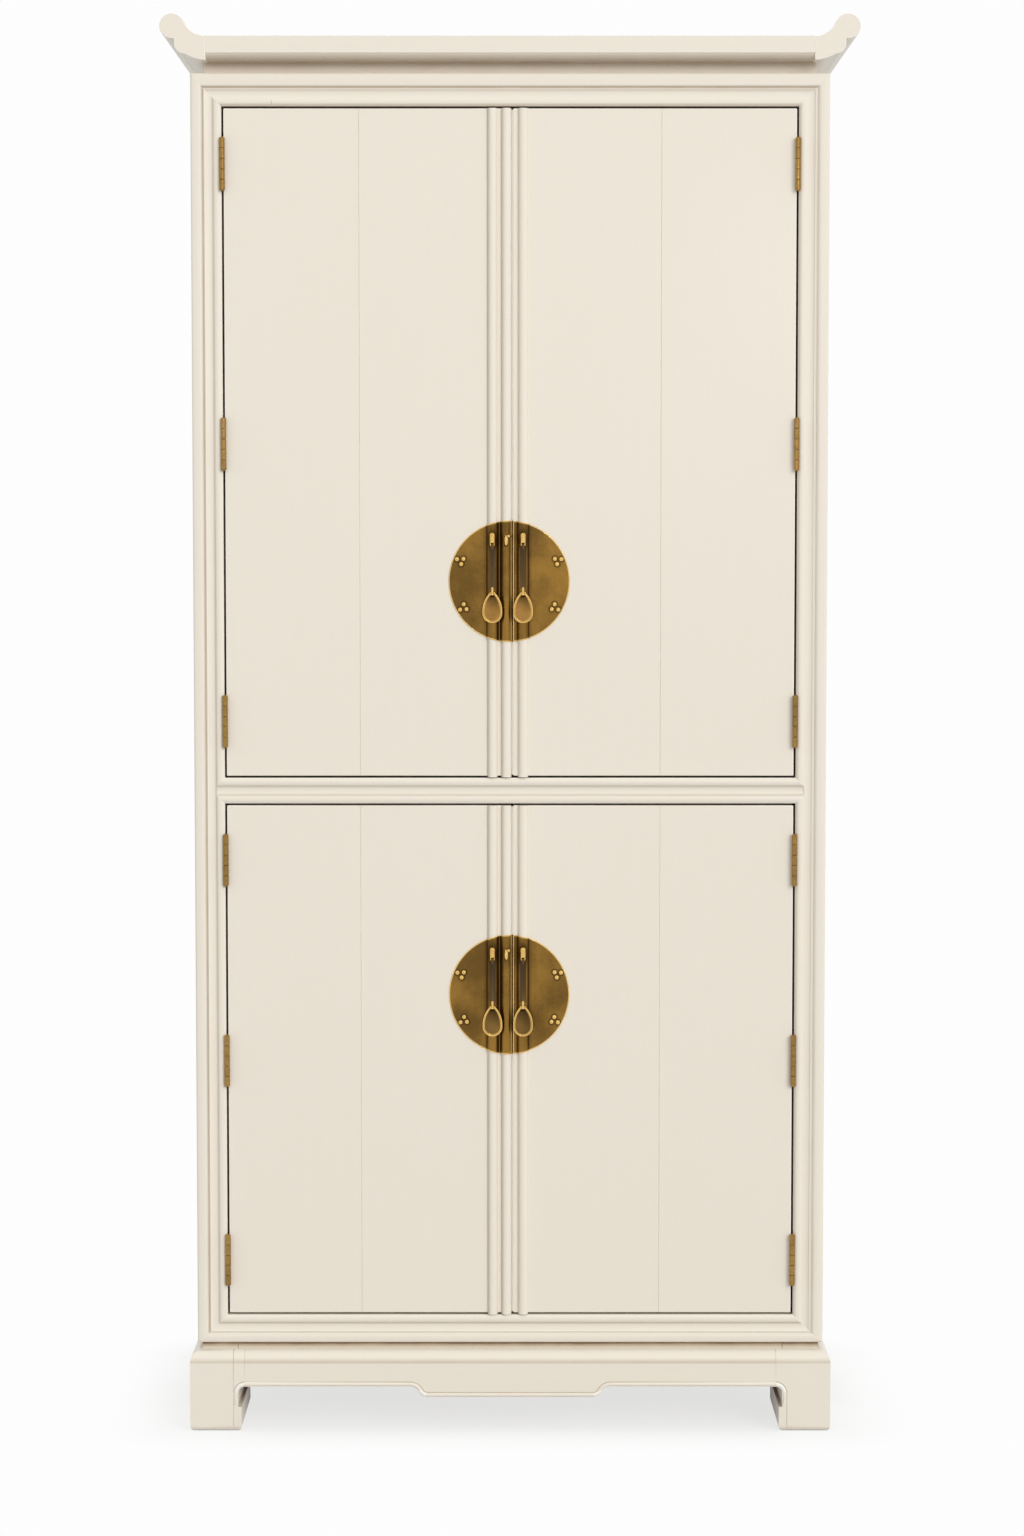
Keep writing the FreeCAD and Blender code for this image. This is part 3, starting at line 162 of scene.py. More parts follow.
class Line:
    """Line drawn with straight runs and arcs."""

    def __init__(self, start: Point2) -> None:
        """Begin at a point."""
        self.points: list[Point2] = [start]

    def to(self, *spots: Point2) -> Line:
        """Straight runs to one or more points."""
        self.points.extend(spots)
        return self

    def bow(self, end: Point2, rise: float, steps: int = 8) -> Line:
        """Arc to a point.

        Args:
            end: Where the arc ends.
            rise: Height of the arc over its chord, to the left of the way it runs.
            steps: Number of short runs.

        Returns:
            This line.
        """
        start = Vector(self.points[-1])
        chord = Vector(end) - start
        left = Vector((-chord.y, chord.x)).normalized()
        half = chord.length / 2
        radius = (half ** 2 + rise ** 2) / (2 * abs(rise))
        turn = math.copysign(1.0, rise)
        centre = start + chord / 2 + left * (rise - turn * radius)
        sweep = 2 * math.asin(min(half / radius, 1.0))
        if abs(rise) > half:
            sweep = 2 * math.pi - sweep
        arm = start - centre
        for step in range(1, steps):
            angle = -turn * sweep * step / steps
            turned = Matrix.Rotation(angle, 2) @ arm
            self.points.append(tuple(centre + turned))
        self.points.append(tuple(end))
        return self

    def mirrored(self) -> list[Point2]:
        """The line and its mirror image across zero, as one closed outline."""
        return self.points + [(-first, second) for first, second in reversed(self.points)]


def offset_path(points: Sequence[Point2], distance: float) -> list[Point2]:
    """Open line moved to its left.

    Args:
        points: Points of the line.
        distance: How far each run moves.

    Returns:
        As many points, each moved along the mean of its runs' normals.
    """
    spots = [Vector(point) for point in points]
    moved = []
    for index, spot in enumerate(spots):
        before = spot - spots[max(index - 1, 0)]
        after = spots[min(index + 1, len(spots) - 1)] - spot
        runs = [run.normalized() for run in (before, after) if run.length > 0]
        normal = sum((Vector((-run.y, run.x)) for run in runs), Vector((0, 0))).normalized()
        lean = max(normal.dot(Vector((-runs[0].y, runs[0].x))), 0.5)
        moved.append(tuple(spot + normal * (distance / lean)))
    return moved


# Node trees

def maths(operation: str, flipped: bool = False) -> Callable[[Signal, Value], Signal]:
    """Method that adds a Math node of a signal and another value, which comes first where flipped."""
    def result(signal: Signal, other: Value = 0.0) -> Signal:
        """The node's output."""
        values = (other, signal) if flipped else (signal, other)
        return signal.graph.signal("ShaderNodeMath", 0, {"operation": operation}, dict(enumerate(values)))
    return result


class Signal:
    """Value in a node tree; arithmetic on it adds Math nodes."""

    def __init__(self, graph: Graph, socket: bpy.types.NodeSocket) -> None:
        """Hold an output socket."""
        self.graph = graph
        self.socket = socket

    __add__ = __radd__ = maths("ADD")
    __sub__ = maths("SUBTRACT")
    __rsub__ = maths("SUBTRACT", flipped=True)
    __mul__ = __rmul__ = maths("MULTIPLY")
    __pow__ = maths("POWER")
    at_most = maths("MINIMUM")
    at_least = maths("MAXIMUM")
    size = maths("ABSOLUTE")


Value = Union[Signal, float, Sequence[float]]


class Graph:
    """Node tree of a material, of the world or of a rule for shapes."""

    def __init__(self, tree: bpy.types.NodeTree) -> None:
        """Start from an empty tree."""
        self.tree = tree
        tree.nodes.clear()

    def node(self, kind: str, settings: dict | None = None, sockets: dict | None = None) -> bpy.types.Node:
        """Add a node.

        Args:
            kind: Node type.
            settings: Properties, set first.
            sockets: Values or signals by socket index, identifier or name.

        Returns:
            The node.
        """
        made = self.tree.nodes.new(kind)
        for name, value in (settings or {}).items():
            setattr(made, name, value)
        for key, value in (sockets or {}).items():
            socket = self._socket(made, key)
            if isinstance(value, Signal):
                self.tree.links.new(value.socket, socket)
            else:
                socket.default_value = value
        return made

    @staticmethod
    def _socket(made: bpy.types.Node, key: int | str) -> bpy.types.NodeSocket:
        """Input of a node by index, identifier or name."""
        if isinstance(key, int):
            return made.inputs[key]
        found = [socket for socket in made.inputs if socket.identifier == key]
        return found[0] if found else made.inputs[key]

    def signal(self, kind: str, output: int | str, settings: dict | None = None,
               sockets: dict | None = None) -> Signal:
        """Add a node and hold one of its outputs."""
        return Signal(self, self.node(kind, settings, sockets).outputs[output])

    def places(self, stretch: Point3 = EVEN) -> Signal:
        """Object coordinates, stretched along the axes."""
        spot = self.signal("ShaderNodeTexCoord", "Object")
        return self.signal("ShaderNodeMapping", 0, None, {"Vector": spot, "Scale": stretch})

    def noise(self, scale: float, detail: float = 3.0, stretch: Point3 = EVEN) -> Signal:
        """Cloudy pattern from 0 to 1 with a mean near a half; the scale is in patches to the metre."""
        return self.signal("ShaderNodeTexNoise", 0, None,
                           {"Vector": self.places(stretch), "Scale": scale, "Detail": detail})

    def band(self, value: Value, low: float, high: float) -> Signal:
        """Smooth step of a value from 0 at the low limit to 1 at the high one."""
        return self.signal("ShaderNodeMapRange", 0, {"interpolation_type": "SMOOTHSTEP"},
                           {"Value": value, "From Min": low, "From Max": high})

    def worn(self, name: str) -> Signal:
        """Mark that a piece's mesh carries; the marks stand for wear, patina, glazing, painted highlight and
        painted shade.
        """
        return self.signal("ShaderNodeAttribute", "Fac", {"attribute_name": name})

    def blend(self, factor: Value, first: Value, second: Value) -> Signal:
        """Mix of two colours."""
        made = self.node("ShaderNodeMix", {"data_type": "RGBA", "clamp_factor": True},
                         {"Factor_Float": factor, "A_Color": first, "B_Color": second})
        return Signal(self, next(out for out in made.outputs if out.identifier == "Result_Color"))

    def bump(self, height: Value, depth: float) -> Signal:
        """Surface normal disturbed by a height; the depth is in metres."""
        return self.signal("ShaderNodeBump", 0, None,
                           {"Height": height, "Distance": depth, "Strength": 1.0})


def tint(red: float, green: float, blue: float) -> Colour:
    """Colour from screen values of 0 to 255."""
    def linear(value: float) -> float:
        """Linear light of one screen value."""
        share = value / 255
        return share / 12.92 if share <= 0.04045 else ((share + 0.055) / 1.055) ** 2.4
    return (linear(red), linear(green), linear(blue), 1.0)


# Finishes

@dataclass(frozen=True)
class Finish:
    """Finish of a piece, with the record's slot that it belongs to."""

    name: str
    slot: str

    def material(self) -> bpy.types.Material:
        """The finish as a material, made once."""
        made = bpy.data.materials.get(self.name)
        if made is None:
            made = bpy.data.materials.new(self.name)
            made.use_nodes = True
            graph = Graph(made.node_tree)
            shader = graph.signal("ShaderNodeBsdfPrincipled", 0, None, self.coat(graph))
            graph.node("ShaderNodeOutputMaterial", None, {"Surface": shader})
        return made

    def coat(self, graph: Graph) -> dict[str, Value]:
        """Values and signals of the shader's sockets."""
        raise NotImplementedError


@dataclass(frozen=True)
class Lacquer(Finish):
    """Satin ivory lacquer with warm glazing and painted shade in the hollows, and a painted highlight on its
    arrises.
    """

    name: str = "ivory_lacquer_upright"
    slot: str = "ivory_lacquer"
    grain: Grain = Grain.UPRIGHT
    light: Colour = tint(240, 232, 218)
    deep: Colour = tint(237, 229, 214)
    # Glaze with painted shade for the hollows, a painted shadow tone for the deepest, and near-white rubbing
    # with a painted highlight for the arrises
    glaze: Colour = tint(146, 111, 56)
    soot: Colour = tint(72, 50, 27)
    rubbed: Colour = tint(254, 250, 243)

    def coat(self, graph: Graph) -> dict[str, Value]:
        """Cloudy ivory, faint grain, glazing and painted shade in the hollows with a painted shadow in the
        deepest, and arrises lightened by rubbing and a painted highlight.
        """
        cloud = graph.noise(3.0, 4.0)
        grain = graph.noise(170.0, 4.0, self.grain.value)
        tone = graph.blend(cloud * 0.4 + grain * 0.6, self.light, self.deep)
        patchy = graph.noise(28.0, 3.0)
        # Hollows take glaze and painted shade, turning to a painted shadow in the deepest
        hollow = (graph.worn("hollow") * (patchy * 0.4 + 0.8)).at_most(1.0)
        glazed_and_shaded = graph.blend(hollow, tone, self.glaze)
        deep_shaded = graph.blend(graph.band(hollow, 0.55, 1.0) * 0.8, glazed_and_shaded, self.soot)
        # Arrises lighten: rubbing and a painted highlight
        arris = (graph.worn("edge") * (patchy * 0.3 + 0.8)).at_most(1.0)
        peel = graph.noise(420.0, 2.0)
        return {
            "Base Color": graph.blend(arris, deep_shaded, self.rubbed),
            "Roughness": 0.34 + cloud * 0.1 + peel * 0.05,
            "Normal": graph.bump(peel * 0.7 + grain * 0.3, 0.00005),
            "Coat Weight": 0.12,
            "Coat Roughness": 0.22,
        }


@dataclass(frozen=True)
class PlainWood(Finish):
    """Clear-finished wood of the inside."""

    name: str = "inside_wood_across"
    slot: str = "inside_wood"
    grain: Grain = Grain.ACROSS
    pale: Colour = tint(205, 172, 128)
    dark: Colour = tint(166, 126, 82)
    pore: Colour = tint(112, 78, 47)

    def coat(self, graph: Graph) -> dict[str, Value]:
        """Growth rings drawn out along the board, with fine pores."""
        sway = graph.noise(6.0, 3.0, self.grain.value)
        wave = {"wave_type": "RINGS", "rings_direction": "SPHERICAL"}
        rings = graph.signal("ShaderNodeTexWave", "Fac", wave, {
            "Vector": graph.places(self.grain.value), "Scale": 9.0, "Distortion": 7.0,
            "Detail": 3.0, "Detail Scale": 1.4,
        })
        fibre = graph.noise(420.0, 3.0, self.grain.value)
        tone = graph.blend(rings * 0.55 + sway * 0.45, self.pale, self.dark)
        pores = graph.band(fibre, 0.60, 0.74) * 0.5
        # Pore colour laid into the hollows: darker in the hollows
        hollow_darkening = graph.worn("hollow") * 0.5
        return {
            "Base Color": graph.blend((pores + hollow_darkening).at_most(0.8), tone, self.pore),
            "Roughness": 0.42 + fibre * 0.2,
            "Normal": graph.bump(rings * 0.3 - pores, 0.0002),
        }


@dataclass(frozen=True)
class Brass(Finish):
    """Brass darkened with age: mottled brown, bright on its edges from hands, cloths and a painted highlight,
    dark in its hollows with patina and painted shade.
    """

    name: str = "aged_brass_plate"
    slot: str = "aged_brass"
    warm: Colour = tint(152, 115, 54)
    brown: Colour = tint(109, 82, 40)
    bright: Colour = tint(242, 204, 124)
    # Dark tone of patina and painted shade, in hollows and at marked spots round fixings and holes
    grime: Colour = tint(48, 34, 17)
    shine: float = 0.27
    polish: float = 0.0
    rub: float = 1.0

    def coat(self, graph: Graph) -> dict[str, Value]:
        """Clouds of patina, hollows dark with patina and painted shade, and edges lightened by rubbing and a
        painted highlight.
        """
        cloud = graph.noise(15.0, 4.0)
        speck = graph.noise(240.0, 4.0)
        streak = graph.noise(90.0, 3.0, Grain.UPRIGHT.value)
        patina = graph.band(cloud * 0.8 + speck * 0.1 + streak * 0.1, 0.34, 0.68)
        tone = graph.blend(patina, self.brown, self.warm)
        # Edges lighten: rubbing and a painted highlight
        rubbed = (graph.worn("edge") * (0.45 + speck) * self.rub + self.polish).at_most(1.0)
        shined = graph.blend(rubbed, tone, self.bright)
        # Hollows and marked spots darken: patina and painted shade
        dirt = (graph.worn("hollow") * 0.5 + graph.worn("grime")).at_most(0.9)
        return {
            "Base Color": graph.blend(dirt * (0.5 + cloud), shined, self.grime),
            "Metallic": 1.0,
            "Roughness": (self.shine + (1 - patina) * 0.14 + dirt * 0.25 - rubbed * 0.1).at_least(0.14),
            "Normal": graph.bump(cloud * 0.7 + speck * 0.3, 0.00022),
        }


@dataclass(frozen=True)
class DarkMetal(Finish):
    """Dark brown satin metal, worn along its edges, darkened by painted shade where marked."""

    name: str = "dark_strap_metal"
    slot: str = "dark_strap"
    dark: Colour = tint(90, 70, 42)
    worn: Colour = tint(128, 99, 56)
    soot: Colour = tint(52, 40, 24)

    def coat(self, graph: Graph) -> dict[str, Value]:
        """Brown with lengthwise rubbing, darkened by painted shade where marked."""
        streak = graph.noise(320.0, 3.0, Grain.UPRIGHT.value)
        cloud = graph.noise(60.0, 3.0)
        rubbed = (graph.worn("edge") * 0.3 + graph.band(streak, 0.5, 0.7) * 0.4).at_most(1.0)
        tone = graph.blend(rubbed, self.dark, self.worn)
        return {
            # Painted shade where the mesh is marked, at the strap's top under the staple
            "Base Color": graph.blend(graph.worn("grime"), tone, self.soot),
            "Metallic": 0.75,
            "Roughness": 0.38 + cloud * 0.16,
            "Normal": graph.bump(streak, 0.0001),
        }


@dataclass(frozen=True)
class Steel(Finish):
    """Satin steel with fine drawn lines."""

    name: str = "bright_steel_drawn"
    slot: str = "bright_steel"
    grey: Colour = tint(176, 176, 172)
    shade: Colour = tint(132, 130, 126)

    def coat(self, graph: Graph) -> dict[str, Value]:
        """Drawn lines along X."""
        lines = graph.noise(900.0, 2.0, Grain.ACROSS.value)
        return {
            "Base Color": graph.blend(lines, self.grey, self.shade),
            "Metallic": 1.0,
            "Roughness": 0.3 + lines * 0.15,
            "Normal": graph.bump(lines, 0.00005),
        }


@dataclass(frozen=True)
class Plastic(Finish):
    """Moulded dark brown plastic."""

    name: str = "catch_plastic_brown"
    slot: str = "catch_plastic"
    body: Colour = tint(62, 53, 46)
    scuff: Colour = tint(104, 94, 84)

    def coat(self, graph: Graph) -> dict[str, Value]:
        """Fine moulded texture with scuffed edges."""
        texture = graph.noise(1400.0, 2.0)
        return {
            "Base Color": graph.blend(graph.worn("edge") * 0.6 + texture * 0.1, self.body, self.scuff),
            "Roughness": 0.5 + texture * 0.2,
            "Normal": graph.bump(texture, 0.00006),
        }


UPRIGHT_LACQUER = Lacquer()
LEVEL_LACQUER = Lacquer(name="ivory_lacquer_level", grain=Grain.ACROSS)
DEEP_LACQUER = Lacquer(name="ivory_lacquer_deep", grain=Grain.DEEP)
SHELF_WOOD = PlainWood()
BACK_WOOD = PlainWood(name="inside_wood_upright", grain=Grain.UPRIGHT)
PLATE_BRASS = Brass()
# One drop brass in a lighter copy for the upper doors and a darker copy for the lower doors, as painted light
# and shade
DROP_BRASS = {
    Tier.UPPER: Brass(name="aged_brass_drop", warm=tint(177, 134, 73), brown=tint(142, 106, 54), rub=0.3),
    Tier.LOWER: Brass(name="aged_brass_dark_drop", warm=tint(134, 103, 55), brown=tint(104, 80, 43), rub=0.3),
}
TRIM_BRASS = Brass(name="aged_brass_trim", warm=tint(196, 152, 78), brown=tint(148, 110, 52),
                   shine=0.2, polish=0.5, rub=0.3)
HINGE_BRASS = Brass(name="hinge_brass_satin", slot="hinge_brass", warm=tint(142, 104, 52),
                    brown=tint(104, 74, 34), shine=0.26, rub=0.2)
STRAP_METAL = DarkMetal()
BRIGHT_STEEL = Steel()
CATCH_PLASTIC = Plastic()


# Geometry trees

class NodeRow(Graph):
    """Geometry tree with named inputs."""

    def __init__(self, name: str, inputs: dict[str, str]) -> None:
        """Make the tree with a geometry input and output and the inputs given as name and socket type."""
        super().__init__(bpy.data.node_groups.new(name, "GeometryNodeTree"))
        for label, kind in {"Geometry": "NodeSocketGeometry", **inputs}.items():
            self.tree.interface.new_socket(label, in_out="INPUT", socket_type=kind)
        self.tree.interface.new_socket("Geometry", in_out="OUTPUT", socket_type="NodeSocketGeometry")
        self.start = self.node("NodeGroupInput")

    def given(self, label: str) -> Signal:
        """One of the tree's inputs."""
        return Signal(self, self.start.outputs[label])

    def close(self, shape: Signal) -> None:
        """End the tree in real geometry with its material."""
        real = self.signal("GeometryNodeRealizeInstances", 0, None, {"Geometry": shape})
        dressed = self.signal("GeometryNodeSetMaterial", 0, None,
                              {"Geometry": real, "Material": self.given("Material")})
        self.node("NodeGroupOutput", None, {0: dressed})

    def run(self, piece: Workpiece, **values: object) -> Workpiece:
        """Put the tree on a piece, with its inputs, and keep the result as the piece's mesh."""
        modifier = piece.item.modifiers.new("rule", "NODES")
        modifier.node_group = self.tree
        for entry in self.tree.interface.items_tree:
            if entry.in_out == "INPUT" and entry.name in values:
                modifier[entry.identifier] = values[entry.name]
        return piece.settle()


def round_bar_rule() -> NodeRow:
    """Round bar along a line of edges."""
    rule = NodeRow("round_bar", {"Radius": "NodeSocketFloat", "Sides": "NodeSocketInt",
                                 "Material": "NodeSocketMaterial"})
    path = rule.signal("GeometryNodeMeshToCurve", 0, None, {"Mesh": rule.given("Geometry")})
    ring = rule.signal("GeometryNodeCurvePrimitiveCircle", 0, None,
                       {"Radius": rule.given("Radius"), "Resolution": rule.given("Sides")})
    bar = rule.signal("GeometryNodeCurveToMesh", 0, None,
                      {"Curve": path, "Profile Curve": ring, "Fill Caps": True})
    rule.close(bar)
    return rule


def repeat_rule() -> NodeRow:
    """Copies of a template on points, each turned a little about the Y axis."""
    rule = NodeRow("repeat", {"Template": "NodeSocketObject", "Turn": "NodeSocketFloat",
                              "Seed": "NodeSocketInt", "Material": "NodeSocketMaterial"})
    shape = rule.signal("GeometryNodeObjectInfo", "Geometry", {"transform_space": "ORIGINAL"},
                        {"Object": rule.given("Template")})
    chance = rule.node("FunctionNodeRandomValue", {"data_type": "FLOAT"}, {"Seed": rule.given("Seed")})
    drawn = Signal(rule, next(output for output in chance.outputs if output.enabled))
    angles = rule.signal("ShaderNodeCombineXYZ", 0, None, {"Y": drawn * rule.given("Turn")})
    turn = rule.signal("FunctionNodeEulerToRotation", 0, None, {"Euler": angles})
    copies = rule.signal("GeometryNodeInstanceOnPoints", 0, None,
                         {"Points": rule.given("Geometry"), "Instance": shape, "Rotation": turn})
    rule.close(copies)
    return rule


# Bench work

class Workpiece:
    """Piece on the bench, shaped by modifiers before it is fitted."""

    EASE_ANGLE = math.radians(38)
    SHARP_ANGLE = math.radians(42)
    SHORTEST_EDGE = 0.004

    def __init__(self, name: str, shape: bmesh.types.BMesh) -> None:
        """Take a shape in millimetres into the scene."""
        bmesh.ops.scale(shape, vec=(MM, MM, MM), verts=shape.verts)
        mesh = bpy.data.meshes.new(name)
        shape.to_mesh(mesh)
        shape.free()
        self.item = bpy.data.objects.new(name, mesh)
        bpy.context.scene.collection.objects.link(self.item)

    def settle(self) -> Workpiece:
        """Keep the modifiers' result as the piece's own mesh."""
        bpy.context.view_layer.update()
        scene = bpy.context.evaluated_depsgraph_get()
        result = bpy.data.meshes.new_from_object(self.item.evaluated_get(scene))
        spent = self.item.data
        self.item.modifiers.clear()
        self.item.data = result
        bpy.data.meshes.remove(spent)
        return self

    def shape(self, kind: str, **settings: object) -> Workpiece:
        """Work the piece with one modifier."""
        modifier = self.item.modifiers.new(kind.lower(), kind)
        for name, value in settings.items():
            setattr(modifier, name, value)
        return self.settle()

    def ease(self, width: float, segments: int = 3) -> Workpiece:
        """Round the sharp edges to a width in millimetres."""
        self.shape("BEVEL", width=width * MM, segments=segments, limit_method="ANGLE",
                   angle_limit=self.EASE_ANGLE, use_clamp_overlap=True, miter_outer="MITER_ARC")
        return self.weld()

    def weld(self) -> Workpiece:
        """Draw together the ends of edges too short to see."""
        return self.shape("WELD", mode="CONNECTED", merge_threshold=self.SHORTEST_EDGE * MM)

    def cut(self, *tools: Workpiece, operation: str = "DIFFERENCE") -> Workpiece:
        """Take other pieces away from this one, or keep what they share; the tools are used up."""
        for tool in tools:
            self.shape("BOOLEAN", operation=operation, object=tool.item, solver="EXACT")
            tool.discard()
        return self.weld()

    def discard(self) -> None:
        """Take the piece off the bench."""
        mesh = self.item.data
        bpy.data.objects.remove(self.item)
        bpy.data.meshes.remove(mesh)

    def fit(self, body: str, finish: Finish, *nodes: str) -> bpy.types.Object:
        """Dress the piece and fix it to a body.

        Args:
            body: Body of the frame that carries the piece.
            finish: Its finish.
            nodes: Sub-parts of the frame that it stands for.

        Returns:
            The finished object.
        """
        mesh = self.item.data
        mesh.shade_smooth()
        mesh.set_sharp_from_angle(angle=self.SHARP_ANGLE)
        self.shape("WEIGHTED_NORMAL", keep_sharp=True)
        # Edge marks paint wear and highlight, hollow marks glaze, patina and painted shade
        mark_wear(self.item.data)
        self.item.data.materials.clear()
        self.item.data.materials.append(finish.material())
        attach(self.item, body)
        if nodes:
            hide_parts(*nodes)
        LOG.info("%s on %s: %d faces", self.item.name, body, len(self.item.data.polygons))
        return self.item


def read(items: bpy.types.bpy_prop_collection, name: str, width: int = 1, kind: type = float) -> np.ndarray:
    """One property of a mesh's points, edges, corners or faces, as an array of rows of a width."""
    values = np.empty(len(items) * width, dtype=kind)
    items.foreach_get(name, values)
    return values.reshape(-1, width) if width > 1 else values


def breadth(mesh: bpy.types.Mesh, lengths: np.ndarray) -> np.ndarray:
    """Breadth of the broadest face at each point: area over perimeter, in metres."""
    sides = lengths[read(mesh.loops, "edge_index", kind=int)]
    around = np.add.reduceat(sides, read(mesh.polygons, "loop_start", kind=int))
    ratio = read(mesh.polygons, "area") / np.maximum(around, TINY)
    widest = np.zeros(len(mesh.vertices))
    np.maximum.at(widest, read(mesh.loops, "vertex_index", kind=int),
                  np.repeat(ratio, read(mesh.polygons, "loop_total", kind=int)))
    return widest


def mark_wear(mesh: bpy.types.Mesh) -> None:
    """Mark how far each point stands out as an edge or lies in a hollow; broad flat faces stay clear. The
    edge mark stands for wear and a painted highlight, the hollow mark for glazing, patina and painted shade.
    """
    spots, ends = read(mesh.vertices, "co", 3), read(mesh.edges, "vertices", 2, int)
    normals = read(mesh.vertex_normals, "vector", 3)
    runs = spots[ends[:, 1]] - spots[ends[:, 0]]
    lengths = np.maximum(np.linalg.norm(runs, axis=1), TINY)
    runs /= lengths[:, None]
    total, met = np.zeros(len(spots)), np.zeros(len(spots))
    for column, sign in ((0, 1.0), (1, -1.0)):
        np.add.at(total, ends[:, column], sign * (runs * normals[ends[:, column]]).sum(axis=1))
        np.add.at(met, ends[:, column], 1.0)
    lean = total / np.maximum(met, 1.0)
    lean = BEND_MARK_GAIN * np.sign(lean) * np.maximum(np.abs(lean) - BEND_MARK_START, 0.0)
    lean[breadth(mesh, lengths) > BROAD_FACE * MM] = 0.0
    for name, values, most in (("hollow", lean, HOLLOW_LIMIT), ("edge", -lean, 1.0)):
        layer = mesh.attributes.new(name, "FLOAT", "POINT")
        layer.data.foreach_set("value", np.clip(values, 0.0, most).astype(np.float32))


def mark(mesh: bpy.types.Mesh, name: str, rule: Rule, change: Callable = np.maximum) -> None:
    """Strengthen a mark where a rule of X, Y and Z in millimetres says so, or change it in another way."""
    layer = mesh.attributes.get(name) or mesh.attributes.new(name, "FLOAT", "POINT")
    present = read(layer.data, "value", kind=np.float32)
    asked = np.clip(rule(*read(mesh.vertices, "co", 3).T / MM), 0.0, 1.0)
    layer.data.foreach_set("value", change(present, asked).astype(np.float32))


def fade(mesh: bpy.types.Mesh, name: str, rule: Rule) -> None:
    """Weaken a mark to the share that a rule of X, Y and Z in millimetres gives."""
    mark(mesh, name, rule, np.multiply)


def rising(room: Span, low: float, high: float) -> Rule:
    """Strength that grows from the bottom of a room to its top."""
    return lambda x, y, z: low + (high - low) * (z - room.low) / (room.high - room.low)


def board(name: str, room: Span) -> Workpiece:
    """Plain block of wood or metal."""
    shape = bmesh.new()
    bmesh.ops.create_cube(shape, size=1.0)
    low, high = room.corners
    for corner in shape.verts:
        corner.co = (low + high) / 2 + corner.co * (high - low)
    return Workpiece(name, shape)


def loft(name: str, rings: Sequence[Sequence[Point3]]) -> Workpiece:
    """Closed skin over rings of as many points each."""
    shape = bmesh.new()
    rows = [[shape.verts.new(point) for point in ring] for ring in rings]
    size = len(rows[0])
    for first, second in zip(rows, rows[1:]):
        for index in range(size):
            after = (index + 1) % size
            shape.faces.new((first[index], first[after], second[after], second[index]))
    shape.faces.new(rows[0])
    shape.faces.new(rows[-1])
    bmesh.ops.recalc_face_normals(shape, faces=shape.faces)
    return Workpiece(name, shape)


def prism(name: str, outline: Sequence[Point2], plane: Plane, start: float, end: float) -> Workpiece:
    """Outline pushed from one depth to another."""
    return loft(name, [[plane.point(spot, depth) for spot in outline] for depth in (start, end)])


def turned(name: str, profile: Sequence[Point2], axis: int, centre: Point3, sides: int = 32) -> Workpiece:
    """Turned piece.

    Args:
        name: Name of the piece.
        profile: Radius and distance along the axis, from one end to the other.
        axis: 0, 1 or 2 for X, Y or Z.
        centre: Where the distance is zero.
        sides: Number of flats round the axis.

    Returns:
        The piece; ends with a radius are closed flat.
    """
    across = [other for other in range(3) if other != axis]
    rings = []
    for radius, distance in profile:
        ring = []
        for step in range(sides):
            angle = 2 * math.pi * step / sides
            spot = list(centre)
            spot[axis] += distance
            spot[across[0]] += max(radius, FINEST_TIP) * math.cos(angle)
            spot[across[1]] += max(radius, FINEST_TIP) * math.sin(angle)
            ring.append(tuple(spot))
        rings.append(ring)
    return loft(name, rings)


def capsule(name: str, radius: float, levels: Point2, centre: Point2, steps: int, sides: int) -> Workpiece:
    """Upright round bar with round ends.

    Args:
        name: Name of the piece.
        radius: Radius of the bar and of its ends.
        levels: Its lowest and highest level.
        centre: X and Y of its axis.
        steps: Number of runs in each round end.
        sides: Number of flats round the axis.

    Returns:
        The bar.
    """
    low, high = levels[0] + radius, levels[1] - radius
    angles = [math.pi / 2 * step / steps for step in range(steps + 1)]
    profile = [(radius * math.sin(angle), low - radius * math.cos(angle)) for angle in angles]
    profile += [(radius * math.cos(angle), high + radius * math.sin(angle)) for angle in angles]
    return turned(name, profile, 2, (*centre, 0.0), sides)


def cross_pin(name: str, radius: float, reach: float, centre: Point3) -> Workpiece:
    """Plain pin along X."""
    return turned(name, [(radius, -reach), (radius, reach)], 0, centre, 20)


def wire_line(name: str, path: Sequence[Point3]) -> Workpiece:
    """Bare line of edges for a rule to follow."""
    shape = bmesh.new()
    spots = [shape.verts.new(point) for point in path]
    for ends in zip(spots, spots[1:]):
        shape.edges.new(ends)
    return Workpiece(name, shape)


def joined(name: str, pieces: Sequence[Workpiece]) -> Workpiece:
    """Several pieces as one; they are used up."""
    shape = bmesh.new()
    for piece in pieces:
        shape.from_mesh(piece.item.data)
        piece.discard()
    bmesh.ops.scale(shape, vec=(1 / MM, 1 / MM, 1 / MM), verts=shape.verts)
    return Workpiece(name, shape)


def node_copy(name: str, node: str) -> Workpiece:
    """Copy of a sub-part of the frame, with its loose triangles joined into whole faces."""
    source = bpy.data.objects[node].data
    shape = bmesh.new()
    spots = [shape.verts.new(point.co / MM) for point in source.vertices]
    for face in source.polygons:
        shape.faces.new([spots[index] for index in face.vertices])
    bmesh.ops.remove_doubles(shape, verts=shape.verts, dist=NODE_GAP)
    bmesh.ops.dissolve_limit(shape, angle_limit=FLAT_BEND, verts=shape.verts, edges=shape.edges)
    return Workpiece(name, shape)


